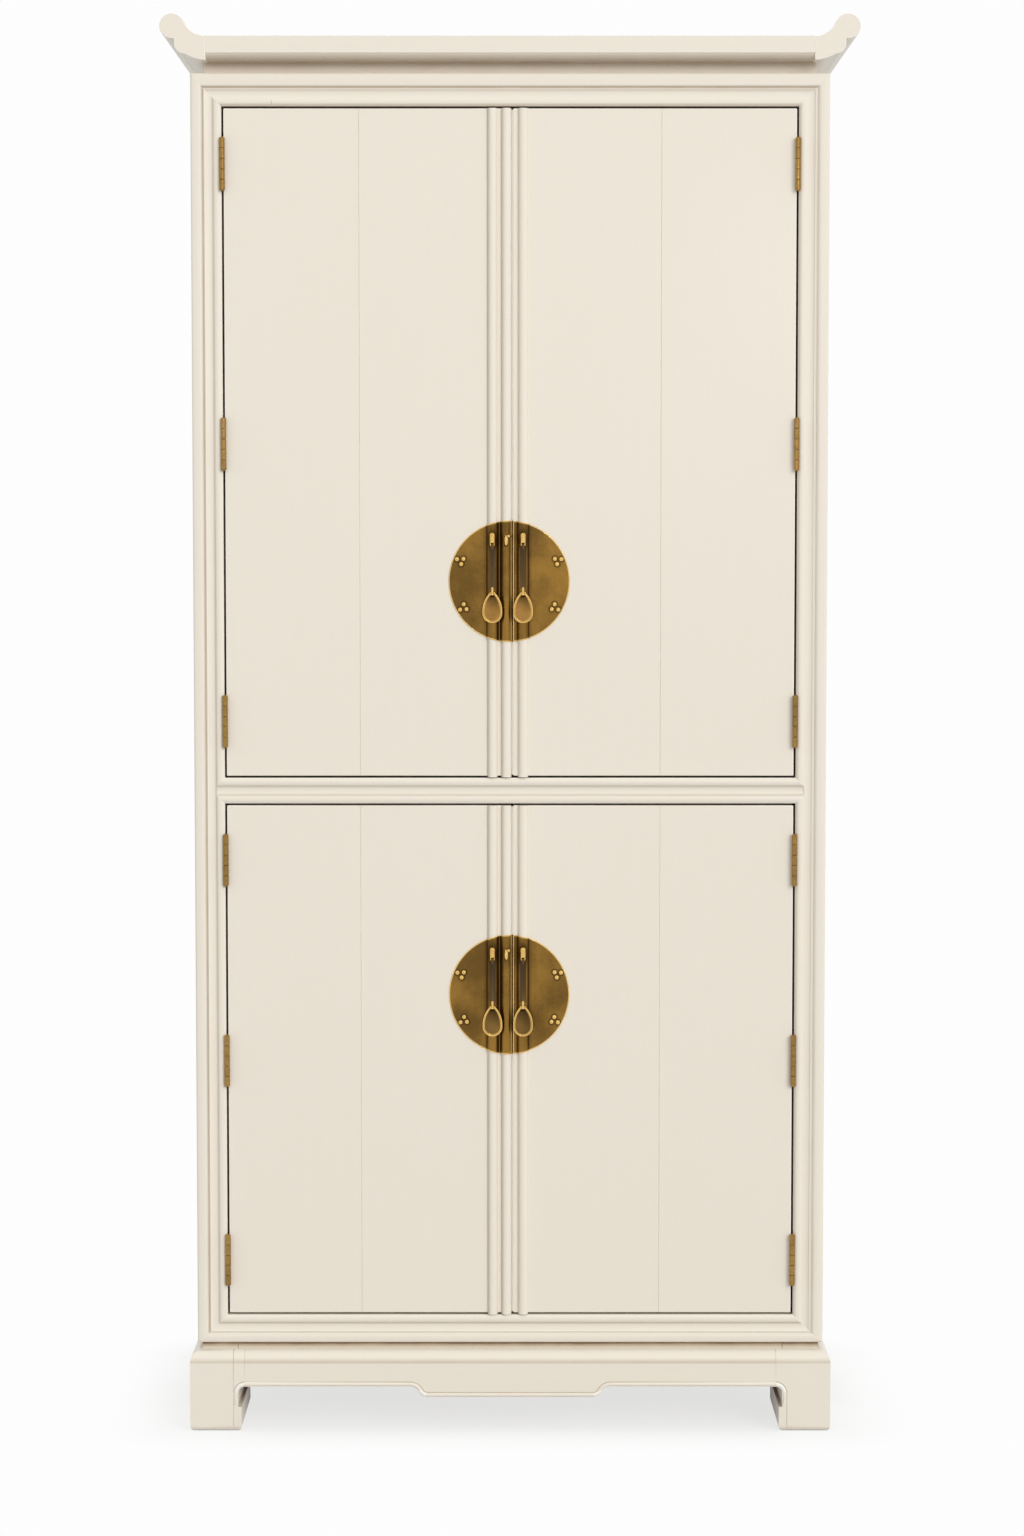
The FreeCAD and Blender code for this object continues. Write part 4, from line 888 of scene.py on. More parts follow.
def butted_frame(name: str, room: Span, member: float, easing: float, *cutters: Workpiece) -> Workpiece:
    """Flat frame of four boards: long ones at the front and back, short ones between them.

    Args:
        name: Name of the frame.
        room: Room that the frame takes.
        member: Width of its boards.
        easing: Rounding of the boards' edges.
        cutters: Tools that cut the front board; they are used up.

    Returns:
        The frame as one piece.
    """
    inner = replace(room, front=room.front + member, rear=room.rear - member)
    spans = (replace(room, rear=inner.front), replace(room, front=inner.rear),
             replace(inner, right=inner.left + member), replace(inner, left=inner.right - member))
    boards = [board("frame_board", span) for span in spans]
    boards[0].cut(*cutters)
    return joined(name, [piece.ease(easing, 2) for piece in boards])


class Rules:
    """Geometry trees shared by the pieces."""

    def __init__(self) -> None:
        """Build each tree once."""
        self.round_bar = round_bar_rule()
        self.repeat = repeat_rule()

    def bar(self, name: str, path: Sequence[Point3], radius: float, finish: Finish,
            sides: int = 14) -> Workpiece:
        """Round bar along a path, in millimetres."""
        return self.round_bar.run(wire_line(name, path), Radius=radius * MM, Sides=sides,
                                  Material=finish.material())

    def copies(self, name: str, template: Workpiece, spots: Sequence[Point3], finish: Finish,
               turn: float = 0.0, seed: int = 7) -> Workpiece:
        """Copies of a template, which is used up, each turned at random up to an angle about Y."""
        shape = bmesh.new()
        for spot in spots:
            shape.verts.new(spot)
        made = self.repeat.run(Workpiece(name, shape), Template=template.item, Turn=turn, Seed=seed,
                               Material=finish.material())
        template.discard()
        return made


# Sub-assemblies

@dataclass
class FaceFrame:
    """Moulded frame round the two openings: stiles and rails with mitred corners."""

    roll: float = 12.5
    roll_foot: float = 0.5
    roll_rise: float = 2.5
    cove: float = 12.0
    cove_rise: float = 1.5
    cove_bow: float = 1.3
    quirk: float = 5.5
    face_height: float = 4.0
    crown: float = 0.6
    corner: float = 4.0
    thickness: float = 22.0
    easing: float = 0.45
    middle_bow: float = 1.7
    # Glaze and painted shade at the middle rail's roll feet
    middle_glaze: float = 0.3
    notch_past: float = 3.0
    crack_x: float = -349.0
    crack_half: float = 0.9
    crack_depth: float = 1.2
    crack_share: float = 0.6
    # Glaze and painted shade lines: half-widths, and per member strengths at the opening edge, roll foot,
    # ridge foot and quirk, stronger on the side away from the light
    glaze_halves: tuple[float, float, float, float] = (5.0, 2.6, 1.9, 2.2)
    ridge_inset: float = 0.6
    strengths: dict[str, tuple[float, float, float, float]] = field(default_factory=lambda: {
        "left_stile": (0.0, 0.38, 0.0, 0.6), "right_stile": (0.45, 0.0, 0.35, 0.2),
        "top_rail": (0.45, 0.0, 0.45, 0.6), "bottom_rail": (0.0, 0.38, 0.0, 0.12),
    })

    def __post_init__(self) -> None:
        """Read the frame's own members."""
        self.stile = Span.of("right_stile")
        self.top = Span.of("top_rail")
        self.middle = Span.of("middle_rail")
        self.bottom = Span.of("bottom_rail")
        self.door_face = self.stile.front + self.face_height
        self.opening = self.stile.left
        self.band_start = self.roll + self.cove + self.quirk

    def profile(self, width: float) -> list[Point2]:
        """Moulding from the opening outwards.

        Args:
            width: Full width of the member.

        Returns:
            Distance from the opening and height over the door face.
        """
        shoulder = self.face_height - self.crown
        line = Line((0.0, -self.thickness)).to((0.0, self.roll_foot))
        line.bow((self.roll, self.roll_foot), self.roll_rise, 12)
        line.bow((self.roll + self.cove, self.roll_foot + self.cove_rise), -self.cove_bow, 10)
        line.to((self.roll + self.cove + self.quirk / 2, self.roll_foot), (self.band_start, shoulder))
        line.bow((width - self.corner, shoulder), self.crown, 6)
        line.bow((width, shoulder - self.corner), self.corner * QUARTER_RISE, 6)
        return line.to((width, -self.thickness)).points

    def middle_profile(self) -> list[Point2]:
        """Moulding of the middle rail, from its lower edge up: a hollow between two rolls."""
        width = self.middle.high - self.middle.low
        line = Line((0.0, -self.thickness)).to((0.0, self.roll_foot))
        line.bow((self.roll, self.roll_foot), self.roll_rise, 12)
        line.bow((width - self.roll, self.roll_foot), -self.middle_bow, 8)
        line.bow((width, self.roll_foot), self.roll_rise, 12)
        return line.to((width, -self.thickness)).points

    def mitre(self, across: float, own_band: float, other_band: float) -> float:
        """How far a member's end runs past the opening at a distance from the opening's edge."""
        past = max(across - self.band_start, 0.0)
        return min(across, self.band_start) + past * other_band / own_band

    @staticmethod
    def glaze(piece: bpy.types.Object, across: Callable[[Row, Row], Row],
              *lines: tuple[float, float, float]) -> None:
        """Mark glazing and painted shade along the moulding's hollows, stronger on each member's side away
        from the light.

        Args:
            piece: Finished member.
            across: Distance from the opening at an X and a Z.
            lines: Distance from the opening, half-width and strength of each line of glazing and painted
                shade.
        """
        for middle, half, strength in lines:
            mark(piece.data, "hollow",
                 lambda x, y, z: strength * (1.0 - np.abs(across(x, z) - middle) / half))

    def glaze_lines(self, node: str) -> list[tuple[float, float, float]]:
        """Lines of glazing and painted shade on a stile or an end rail: place, half-width and strength."""
        ridge = self.roll + self.cove
        places = (0.0, self.roll, ridge - self.ridge_inset, ridge + self.quirk / 2)
        return [line for line in zip(places, self.glaze_halves, self.strengths[node]) if line[2]]

    def rail_point(self, past: float) -> list[Point2]:
        """Where the middle rail's right end is let into the stile, starting a little past the opening."""
        inner, tip = self.opening - past, self.opening + self.roll
        low, high = self.middle.low, self.middle.high
        return [(inner, low - past), (tip, low + self.roll), (tip, high - self.roll), (inner, high + past)]

    def build(self) -> None:
        """Make and fit the five members."""
        for side in Side:
            self.make_stile(side)
        self.make_end_rail("top_rail", self.top, self.top.low, 1)
        self.make_end_rail("bottom_rail", self.bottom, self.bottom.high, -1)
        self.make_middle_rail()

    def make_stile(self, side: Side) -> None:
        """Upright, let in for the points of the middle rail."""
        width = self.stile.right - self.stile.left
        band = width - self.band_start
        low_band = self.bottom.high - self.bottom.low - self.band_start
        high_band = self.top.high - self.top.low - self.band_start
        rings: list[list[Point3]] = [[], []]
        for across, height in self.profile(width):
            x, y = side.value * (self.opening + across), self.door_face - height
            rings[0].append((x, y, self.bottom.high - self.mitre(across, band, low_band)))
            rings[1].append((x, y, self.top.low + self.mitre(across, band, high_band)))
        piece = loft(f"{side.word}_stile_moulded", rings)
        past = self.notch_past
        notch = [(side.value * x, z) for x, z in self.rail_point(past)]
        tool = prism("stile_notch", notch, Plane.FRONT, self.stile.front - past, self.stile.rear + past)
        made = piece.cut(tool).ease(self.easing).fit(CARCASS, UPRIGHT_LACQUER, f"{side.word}_stile")
        # Glaze and painted shade along the stile's hollows
        self.glaze(made, lambda x, z: np.abs(x) - self.opening, *self.glaze_lines(f"{side.word}_stile"))

    def make_end_rail(self, node: str, room: Span, edge: float, sign: int) -> None:
        """Top or bottom rail, mitred to the stiles."""
        height = room.high - room.low
        band, stile_band = height - self.band_start, self.stile.right - self.stile.left - self.band_start
        rings: list[list[Point3]] = [[], []]
        for across, rise in self.profile(height):
            reach = self.opening + self.mitre(across, band, stile_band)
            spot = (self.door_face - rise, edge + sign * across)
            rings[0].append((-reach, *spot))
            rings[1].append((reach, *spot))
        piece = loft(f"{node}_moulded", rings).ease(self.easing)
        if sign > 0:
            piece.cut(self.shrinkage_crack(edge))
        made = piece.fit(CARCASS, LEVEL_LACQUER, node)
        # Glaze and painted shade along the rail's hollows
        self.glaze(made, lambda x, z: np.abs(z - edge), *self.glaze_lines(node))

    def shrinkage_crack(self, edge: float) -> Workpiece:
        """Cutter for a short crack across the top rail's roll."""
        front = self.door_face - self.roll_rise
        mouth = front - self.notch_past
        outline = [(self.crack_x - self.crack_half, mouth), (self.crack_x + self.crack_half, mouth),
                   (self.crack_x, front + self.crack_depth)]
        return prism("crack", outline, Plane.PLAN, edge - PAST, edge + self.roll * self.crack_share)

    def make_middle_rail(self) -> None:
        """Rail between the openings, pointed into the stiles."""
        low, high = self.middle.low, self.middle.high
        tip = self.opening + self.roll
        outline = [(self.door_face - rise, low + across) for across, rise in self.middle_profile()]
        piece = prism("middle_rail_moulded", outline, Plane.SIDE, -tip, tip)
        point = self.rail_point(PAST)
        ends = point + [(-x, z) for x, z in reversed(point)]
        piece.cut(prism("rail_points", ends, Plane.FRONT, self.middle.front - PAST, self.middle.rear + PAST),
                  operation="INTERSECT")
        made = piece.ease(self.easing).fit(CARCASS, LEVEL_LACQUER, "middle_rail")
        # Glaze and painted shade at the feet of both rolls
        for place in (self.roll, high - low - self.roll):
            self.glaze(made, lambda x, z: z - low, (place, self.glaze_halves[1], self.middle_glaze))


@dataclass
class BracketBase:
    """Base with hoof feet, a shaped front apron and a bead along its lower edge."""

    rules: Rules
    shoulder_height: float = 18.0
    shoulder_inset: float = 15.0
    shoulder_bow: float = 4.2
    foot_curve: float = 10.0
    foot_corner: float = 8.0
    hoof_height: float = 37.0
    hoof_ledge: float = 5.0
    apron_rise: float = 68.0
    drop: float = 16.0
    drop_half: float = 124.0
    drop_slope: float = 26.0
    drop_bow: float = 2.1
    crease: float = 1.4
    crease_rise: float = 7.5
    bead: float = 3.3
    bead_proud: float = 1.4
    quirk: float = 0.9
    line_radius: float = 0.65
    line_lift: float = 0.35
    line_glaze: float = 0.34
    # Strength of the painted shade on the legs' inner faces
    leg_glaze: float = 1.0
    leg_slack: float = 0.5
    face_clear: float = 1.0
    line_share: float = 0.8
    line_floor: float = 0.02
    # Strengths of the painted shade under the shoulder on the feet and the apron
    foot_glaze: float = 0.28
    apron_glaze: float = 0.36
    neck_line: float = 408.0
    neck_clear: float = 2.0
    # Painted shade on the neck, weakest at its foot and strongest at its top
    neck_glaze: Point2 = (0.15, 1.0)
    neck_easing: float = 0.3
    apron_easing: float = 0.5
    side_easing: float = 0.6
    easing: float = 1.3

    def __post_init__(self) -> None:
        """Read the base's own pieces."""
        self.foot = Span.of("foot_front_right")
        self.rear_foot = Span.of("foot_rear_right")
        self.apron = Span.of("front_apron")
        self.side_apron = Span.of("side_aprons")

    def shoulder(self, outside: float, inwards: float) -> Line:
        """Rounded shoulder from the base's top edge to its flat face."""
        level = self.foot.high - self.shoulder_height
        line = Line((outside + inwards * self.shoulder_inset, self.foot.high))
        line.bow((outside, level), -inwards * self.shoulder_bow, 10)
        return line.to((outside, level - self.crease))

    def crease_glaze(self, strength: float) -> Rule:
        """Painted shade along the foot of the shoulder, where it curls under."""
        level = self.foot.high - self.shoulder_height

        def gathered(x: Row, y: Row, z: Row) -> Row:
            """Strength of the painted shade, over and under the foot of the shoulder."""
            over, under = (z - level) / self.crease_rise, (level - z) / (self.crease * 0.9)
            return strength * (1.0 - np.maximum(over, under))
        return gathered

    def foot_face(self, outside: float, inwards: float, spread: float, rounded: bool) -> list[Point2]:
        """One face of a foot, from its outside to the joint with the apron.

        Args:
            outside: Outer edge.
            inwards: 1 or -1, the way to the joint.
            spread: Outer edge to the joint.
            rounded: Whether this face has the shoulder.

        Returns:
            Closed outline.
        """
        joint = outside + inwards * spread
        leg = joint - inwards * self.foot_curve
        hoof = leg + inwards * self.hoof_ledge
        corner = self.foot_corner
        turn = corner * QUARTER_RISE
        line = self.shoulder(outside, inwards) if rounded else Line((outside, self.foot.high))
        line.to((outside, corner)).bow((outside + inwards * corner, 0.0), -inwards * turn, 6)
        line.to((hoof - inwards * corner, 0.0)).bow((hoof, corner), -inwards * turn, 6)
        line.to((hoof, self.hoof_height), (leg, self.hoof_height), (leg, self.apron_rise - self.foot_curve))
        bend = self.foot_curve * QUARTER_RISE
        line.bow((joint, self.apron_rise), inwards * bend, 8)
        return line.to((joint, self.foot.high)).points

    def build(self) -> None:
        """Make and fit the base."""
        for side in Side:
            for end, room in (("front", self.foot), ("rear", self.rear_foot)):
                self.make_foot(side, end, room)
        self.make_front_apron()
        self.make_side_aprons()
        self.make_beads()
        rear = node_copy("rear_apron_board", "rear_apron")
        rear.ease(self.easing).fit(CARCASS, LEVEL_LACQUER, "rear_apron")
        self.make_neck()

    def make_neck(self) -> None:
        """Recessed frame on top of the base, with a scored line near each end of its front."""
        room = Span.of("base_neck")
        section = [(room.front, room.low - PAST), (room.front, room.high + PAST)]
        lines = [self.scored_line(side.value * self.neck_line, section) for side in Side]
        neck = butted_frame("base_neck_frame", room, NECK_MEMBER, self.neck_easing, *lines)
        made = neck.fit(CARCASS, LEVEL_LACQUER, "base_neck")
        # Painted shade on the neck, darker towards the top under the carcass
        mark(made.data, "hollow", rising(room, *self.neck_glaze))
        mark(made.data, "hollow", self.line_mark(1.0, room.front, -self.neck_line, self.neck_line))
        fade(made.data, "edge", lambda x, y, z: np.abs(np.abs(x) - self.neck_line) > self.neck_clear)

    def scored_line(self, x: float, section: Sequence[Point2]) -> Workpiece:
        """Cutter for a fine upright line at an X, along a section of depths and levels."""
        path = [(x, depth - self.line_lift, level) for depth, level in section]
        return self.rules.bar("scored_line", path, self.line_radius, LEVEL_LACQUER, 10)

    def line_mark(self, strength: float, face: float, *lines: float) -> Rule:
        """Glaze that lies in the scored lines of a face at some X, down to the feet's lower edge."""
        def lying(x: Row, y: Row, z: Row) -> Row:
            """Strength of the glaze, inside the lines only."""
            inside = [np.abs(x - line) < self.line_share * self.line_radius for line in lines]
            deep = (y > face + self.line_floor) * (z > self.foot_corner / 2)
            return strength * np.any(inside, axis=0) * deep
        return lying

    def inside_glaze(self, room: Span) -> Rule:
        """Painted shade on the inner faces of a leg."""
        limit = self.apron.right + self.foot_curve + self.leg_slack
        low = self.foot_corner / 2
        return lambda x, y, z: self.leg_glaze * (
            (np.abs(x) < limit) & (y > room.front + self.face_clear) & (z > low) & (z < self.apron_rise))

    def make_foot(self, side: Side, end: str, room: Span) -> None:
        """Corner foot: its front and side faces, crossed."""
        outside, inner = side.value * room.right, side.value * room.left
        name = f"foot_{end}_{side.word}"
        front_face = self.foot_face(outside, -side.value, room.right - room.left, True)
        edge, inwards = (room.front, 1) if end == "front" else (room.rear, -1)
        side_face = self.foot_face(edge, inwards, room.rear - room.front, end == "front")
        piece = prism(f"{name}_hoof", front_face, Plane.FRONT, room.front, room.rear)
        piece.cut(prism("foot_side", side_face, Plane.SIDE, outside, inner), operation="INTERSECT")
        piece.ease(self.easing)
        line = side.value * (self.apron.right + self.foot_curve + self.quirk_offset())
        if end == "front":
            shoulder = self.shoulder(room.front, 1).points
            start = shoulder if side is Side.LEFT else [(room.front, self.apron_rise - self.foot_curve)]
            leg = [*start, (room.front, self.foot_corner), (room.front, -PAST)]
            joint = [*shoulder, (room.front, self.apron_rise + self.quirk_offset())]
            piece.cut(self.scored_line(line, leg), self.scored_line(inner, joint), self.quirk_tool())
        made = piece.fit(CARCASS, UPRIGHT_LACQUER, name)
        # Painted shade under the shoulder and on the leg's inner faces
        mark(made.data, "hollow", self.crease_glaze(self.foot_glaze))
        mark(made.data, "hollow", self.inside_glaze(room))
        fade(made.data, "edge", lambda x, y, z: z < room.high - self.shoulder_height)
        if end == "front":
            mark(made.data, "hollow", self.line_mark(self.line_glaze, room.front, line))

    def apron_edge(self) -> Line:
        """Right half of the front apron's lower edge, from the middle outwards."""
        low = self.apron_rise - self.drop
        middle = (self.drop_half + self.drop_slope / 2, self.apron_rise - self.drop / 2)
        line = Line((0.0, low)).to((self.drop_half, low))
        line.bow(middle, -self.drop_bow, 6)
        return line.bow((self.drop_half + self.drop_slope, self.apron_rise), self.drop_bow, 6)

    def make_front_apron(self) -> None:
        """Front apron with a dropped middle, under the rounded shoulder."""
        edge = self.apron_edge().to((self.apron.right, self.apron_rise), (self.apron.right, self.apron.high))
        piece = prism("front_apron_board", edge.mirrored()[:-1], Plane.FRONT,
                      self.apron.front, self.apron.rear)
        section = self.shoulder(self.apron.front, 1).to(
            (self.apron.front, 0.0), (self.apron.rear, 0.0), (self.apron.rear, self.apron.high))
        reach = self.apron.right + PAST
        piece.cut(prism("apron_section", section.points, Plane.SIDE, -reach, reach), operation="INTERSECT")
        piece.ease(self.apron_easing).cut(self.quirk_tool())
        made = piece.fit(CARCASS, LEVEL_LACQUER, "front_apron")
        # Painted shade under the shoulder
        mark(made.data, "hollow", self.crease_glaze(self.apron_glaze))

    def make_side_aprons(self) -> None:
        """Short aprons between the front and rear feet."""
        thickness = self.apron.rear - self.apron.front
        pieces = []
        for side in Side:
            outside = side.value * self.side_apron.right
            inside = outside - side.value * thickness
            section = self.shoulder(outside, -side.value).to(
                (outside, self.apron_rise), (inside, self.apron_rise), (inside, self.side_apron.high))
            piece = prism("side_apron", section.points, Plane.FRONT,
                          self.side_apron.front, self.side_apron.rear)
            pieces.append(piece.ease(self.side_easing))
        joined("side_apron_boards", pieces).fit(CARCASS, DEEP_LACQUER, "side_aprons")

    def leg_edge(self, joint: float, outwards: float) -> Line:
        """Inner edge of a leg from the hoof up to the apron."""
        leg = joint + outwards * self.foot_curve
        line = Line((leg, self.hoof_height + self.bead))
        line.to((leg, self.apron_rise - self.foot_curve))
        bend = self.foot_curve * QUARTER_RISE
        return line.bow((joint, self.apron_rise), -outwards * bend, 8)

    def front_edge(self) -> list[Point2]:
        """Lower edge of the front, from the right hoof over the apron to the left hoof."""
        right = self.leg_edge(self.apron.right, 1).points + self.apron_edge().points[::-1][:-1]
        return right + [(-x, z) for x, z in reversed(right)]

    def quirk_offset(self) -> float:
        """Middle of the groove beside the bead, from the edge that the bead follows."""
        return 2 * self.bead + self.quirk * 0.4

    def quirk_tool(self) -> Workpiece:
        """Cutter for the groove along the curves and the apron; the legs have a scored line instead."""
        spots = offset_path(self.front_edge(), -self.quirk_offset())[1:-1]
        path = [Plane.FRONT.point(spot, self.apron.front - self.line_lift) for spot in spots]
        return self.rules.bar("quirk", path, self.quirk, LEVEL_LACQUER, 10)

    def make_beads(self) -> None:
        """Round bead down the legs and along the aprons, at the front and on both sides."""
        sunk = self.bead - self.bead_proud
        front = [Plane.FRONT.point(spot, self.apron.front + sunk)
                 for spot in offset_path(self.front_edge(), -self.bead)]
        pieces = [self.rules.bar("front_bead", front, self.bead, LEVEL_LACQUER)]
        near = self.leg_edge(self.side_apron.front, -1).points
        far = self.leg_edge(self.side_apron.rear, 1).points[::-1]
        for side in Side:
            depth = side.value * (self.side_apron.right - sunk)
            path = [Plane.SIDE.point(spot, depth) for spot in offset_path(near + far, self.bead)]
            pieces.append(self.rules.bar("side_bead", path, self.bead, LEVEL_LACQUER))
        joined("apron_beads", pieces).fit(CARCASS, LEVEL_LACQUER)


@dataclass
class ScrollTop:
    """Top board with everted scroll ends on a recessed neck."""

    band_height: float = 25.0
    step: float = 1.8
    ovolo_reach: float = 17.0
    ovolo_bow: float = 2.8
    radius: float = 18.4
    crown_angle: float = math.radians(28)
    tuck_angle: float = math.radians(9)
    tuck_step: float = 5.0
    belly_run: float = 17.5
    belly_rise: float = 8.7
    belly_bow: float = 5.0
    throat_bow: float = 1.2
    hollow_bow: float = 4.6
    root: float = 5.0
    # Painted shade on the neck, weakest at its foot and strongest at its top
    neck_glaze: Point2 = (0.05, 0.53)
    neck_easing: float = 0.6
    # Glaze and painted shade under the band: its base strength, growth per millimetre and start
    under_glaze: float = 0.2
    under_gain: float = 0.03
    under_start: float = 0.5
    board_easing: float = 0.7
    easing: float = 1.2

    def build(self) -> None:
        """Make and fit the top."""
        self.board = Span.of("top_board")
        neck = Span.of("top_neck")
        frame = butted_frame("top_neck_frame", neck, NECK_MEMBER, self.neck_easing)
        made = frame.fit(CARCASS, LEVEL_LACQUER, "top_neck")
        # Painted shade on the neck, darker towards the top under the board
        mark(made.data, "hollow", rising(neck, *self.neck_glaze))
        self.make_board()
        for side in Side:
            self.make_scroll(side)

    def make_board(self) -> None:
        """Board with a flat band, a step and a rounded underside along its front."""
        room = self.board
        band_low = room.high - self.band_height
        ledge = (room.front + self.step, band_low - self.step)
        line = Line((room.front, room.high)).to((room.front, band_low), (ledge[0], band_low), ledge)
        line.bow((ledge[0] + self.ovolo_reach, room.low), -self.ovolo_bow, 10)
        line.to((room.rear, room.low), (room.rear, room.high))
        piece = prism("top_board_moulded", line.points, Plane.SIDE, room.left, room.right)
        made = piece.ease(self.board_easing).fit(CARCASS, LEVEL_LACQUER, "top_board")

        def shaded(x: Row, y: Row, z: Row) -> Row:
            """Glazing and painted shade under the band, stronger lower down."""
            under = band_low - z
            return np.where(under > self.under_start, self.under_glaze + self.under_gain * under, 0.0)
        mark(made.data, "hollow", shaded)

    def make_scroll(self, side: Side) -> None:
        """Scroll end: a round head over a swelling underside."""
        room = Span.of("right_scroll")
        centre = Vector((room.right - self.radius, room.high - self.radius))
        tuck = Vector((-math.sin(self.tuck_angle), -math.cos(self.tuck_angle))) * self.radius + centre
        crown = Vector((-math.cos(self.crown_angle), math.sin(self.crown_angle))) * self.radius + centre
        chord = (crown - tuck).length / 2
        head_rise = self.radius + math.sqrt(self.radius ** 2 - chord ** 2)
        joint, low, high = room.left, self.board.low, self.board.high
        line = Line((joint, high)).to((joint, low), (joint + self.root, low))
        line.bow((centre.x - self.belly_run, low + self.belly_rise), -self.throat_bow, 8)
        line.bow((tuck.x, tuck.y - self.tuck_step), -self.belly_bow, 10)
        line.to(tuple(tuck)).bow(tuple(crown), -head_rise, 28)
        line.bow((joint + self.root, high), self.hollow_bow, 10)
        outline = [(side.value * x, z) for x, z in line.points]
        piece = prism(f"{side.word}_scroll_carved", outline, Plane.FRONT, room.front, room.rear)
        piece.ease(self.easing).fit(CARCASS, DEEP_LACQUER, f"{side.word}_scroll")


@dataclass
class CarcassBox:
    """Sides, decks, back, shelves and their fittings."""

    rules: Rules
    nail_radius: float = 2.6
    nail_height: float = 0.7
    nail_spacing: float = 150.0
    nail_margin: float = 9.0
    pin_radius: float = 3.0
    pin_reach: float = 12.0
    pin_depth: float = 9.5
    pin_tip: float = 0.8
    nail_sunk: float = 0.1
    shelf_levels: tuple[float, float, float] = (554.0, 1310.0, 1635.0)
    board_easing: float = 0.8
    catch_easing: float = 1.4
    plates: dict[str, Finish] = field(default_factory=lambda: {
        "carcass_bottom": SHELF_WOOD, "middle_deck": SHELF_WOOD, "carcass_top": SHELF_WOOD,
        "back_panel": BACK_WOOD, "adjustable_shelves": SHELF_WOOD,
        "left_side_panel": UPRIGHT_LACQUER, "right_side_panel": UPRIGHT_LACQUER,
    })

    def build(self) -> None:
        """Make and fit the boards, nails, pins and catches."""
        for node, finish in self.plates.items():
            node_copy(f"{node}_board", node).ease(self.board_easing, 2).fit(CARCASS, finish, node)
        self.make_nails()
        self.make_pins()
        self.make_catches()

    def make_nails(self) -> None:
        """Nail heads round the edge of the back panel."""
        room, margin = Span.of("back_panel"), self.nail_margin
        left, right = room.left + margin, room.right - margin
        low, high = room.low + margin, room.high - margin
        across = np.linspace(left, right, round((right - left) / self.nail_spacing) + 1)
        up = np.linspace(low, high, round((high - low) / self.nail_spacing) + 1)
        spots = [(x, z) for x in across for z in (low, high)]
        spots += [(x, z) for z in up[1:-1] for x in (left, right)]
        seats = [(x, room.rear - self.nail_sunk, z) for x, z in spots]
        radius, height = self.nail_radius, self.nail_height
        dome = [(radius, -0.2), (radius, 0.1), (radius * 0.86, height * 0.6), (radius * 0.5, height * 0.92),
                (0.0, height)]
        head = turned("nail_head", dome, 1, ORIGIN, 16)
        self.rules.copies("back_nails", head, seats, BRIGHT_STEEL).fit(CARCASS, BRIGHT_STEEL)

    def make_pins(self) -> None:
        """Shelf pins with rounded tips, under the ends of the shelves."""
        room, panel = Span.of("shelf_pins"), Span.of("right_side_panel")
        radius, reach = self.pin_radius, self.pin_reach
        shank = [(radius, -self.pin_depth), (radius, -0.2), (radius, 0.0), (radius, reach - self.pin_tip),
                 (radius * 0.75, reach - 0.2), (0.0, reach)]
        rows = []
        for side in Side:
            pin = turned("shelf_pin", [(width, -side.value * run) for width, run in shank], 0, ORIGIN, 24)
            spots = [(side.value * panel.left, depth, level - radius) for level in self.shelf_levels
                     for depth in (room.front + radius, room.rear - radius)]
            rows.append(self.rules.copies("pin_row", pin, spots, BRIGHT_STEEL))
        joined("shelf_pin_set", rows).fit(CARCASS, BRIGHT_STEEL, "shelf_pins")

    def make_catches(self) -> None:
        """Catch housings with eased corners."""
        housings = node_copy("catch_housings", "magnetic_catches").ease(self.catch_easing)
        housings.fit(CARCASS, CATCH_PLASTIC, "magnetic_catches")


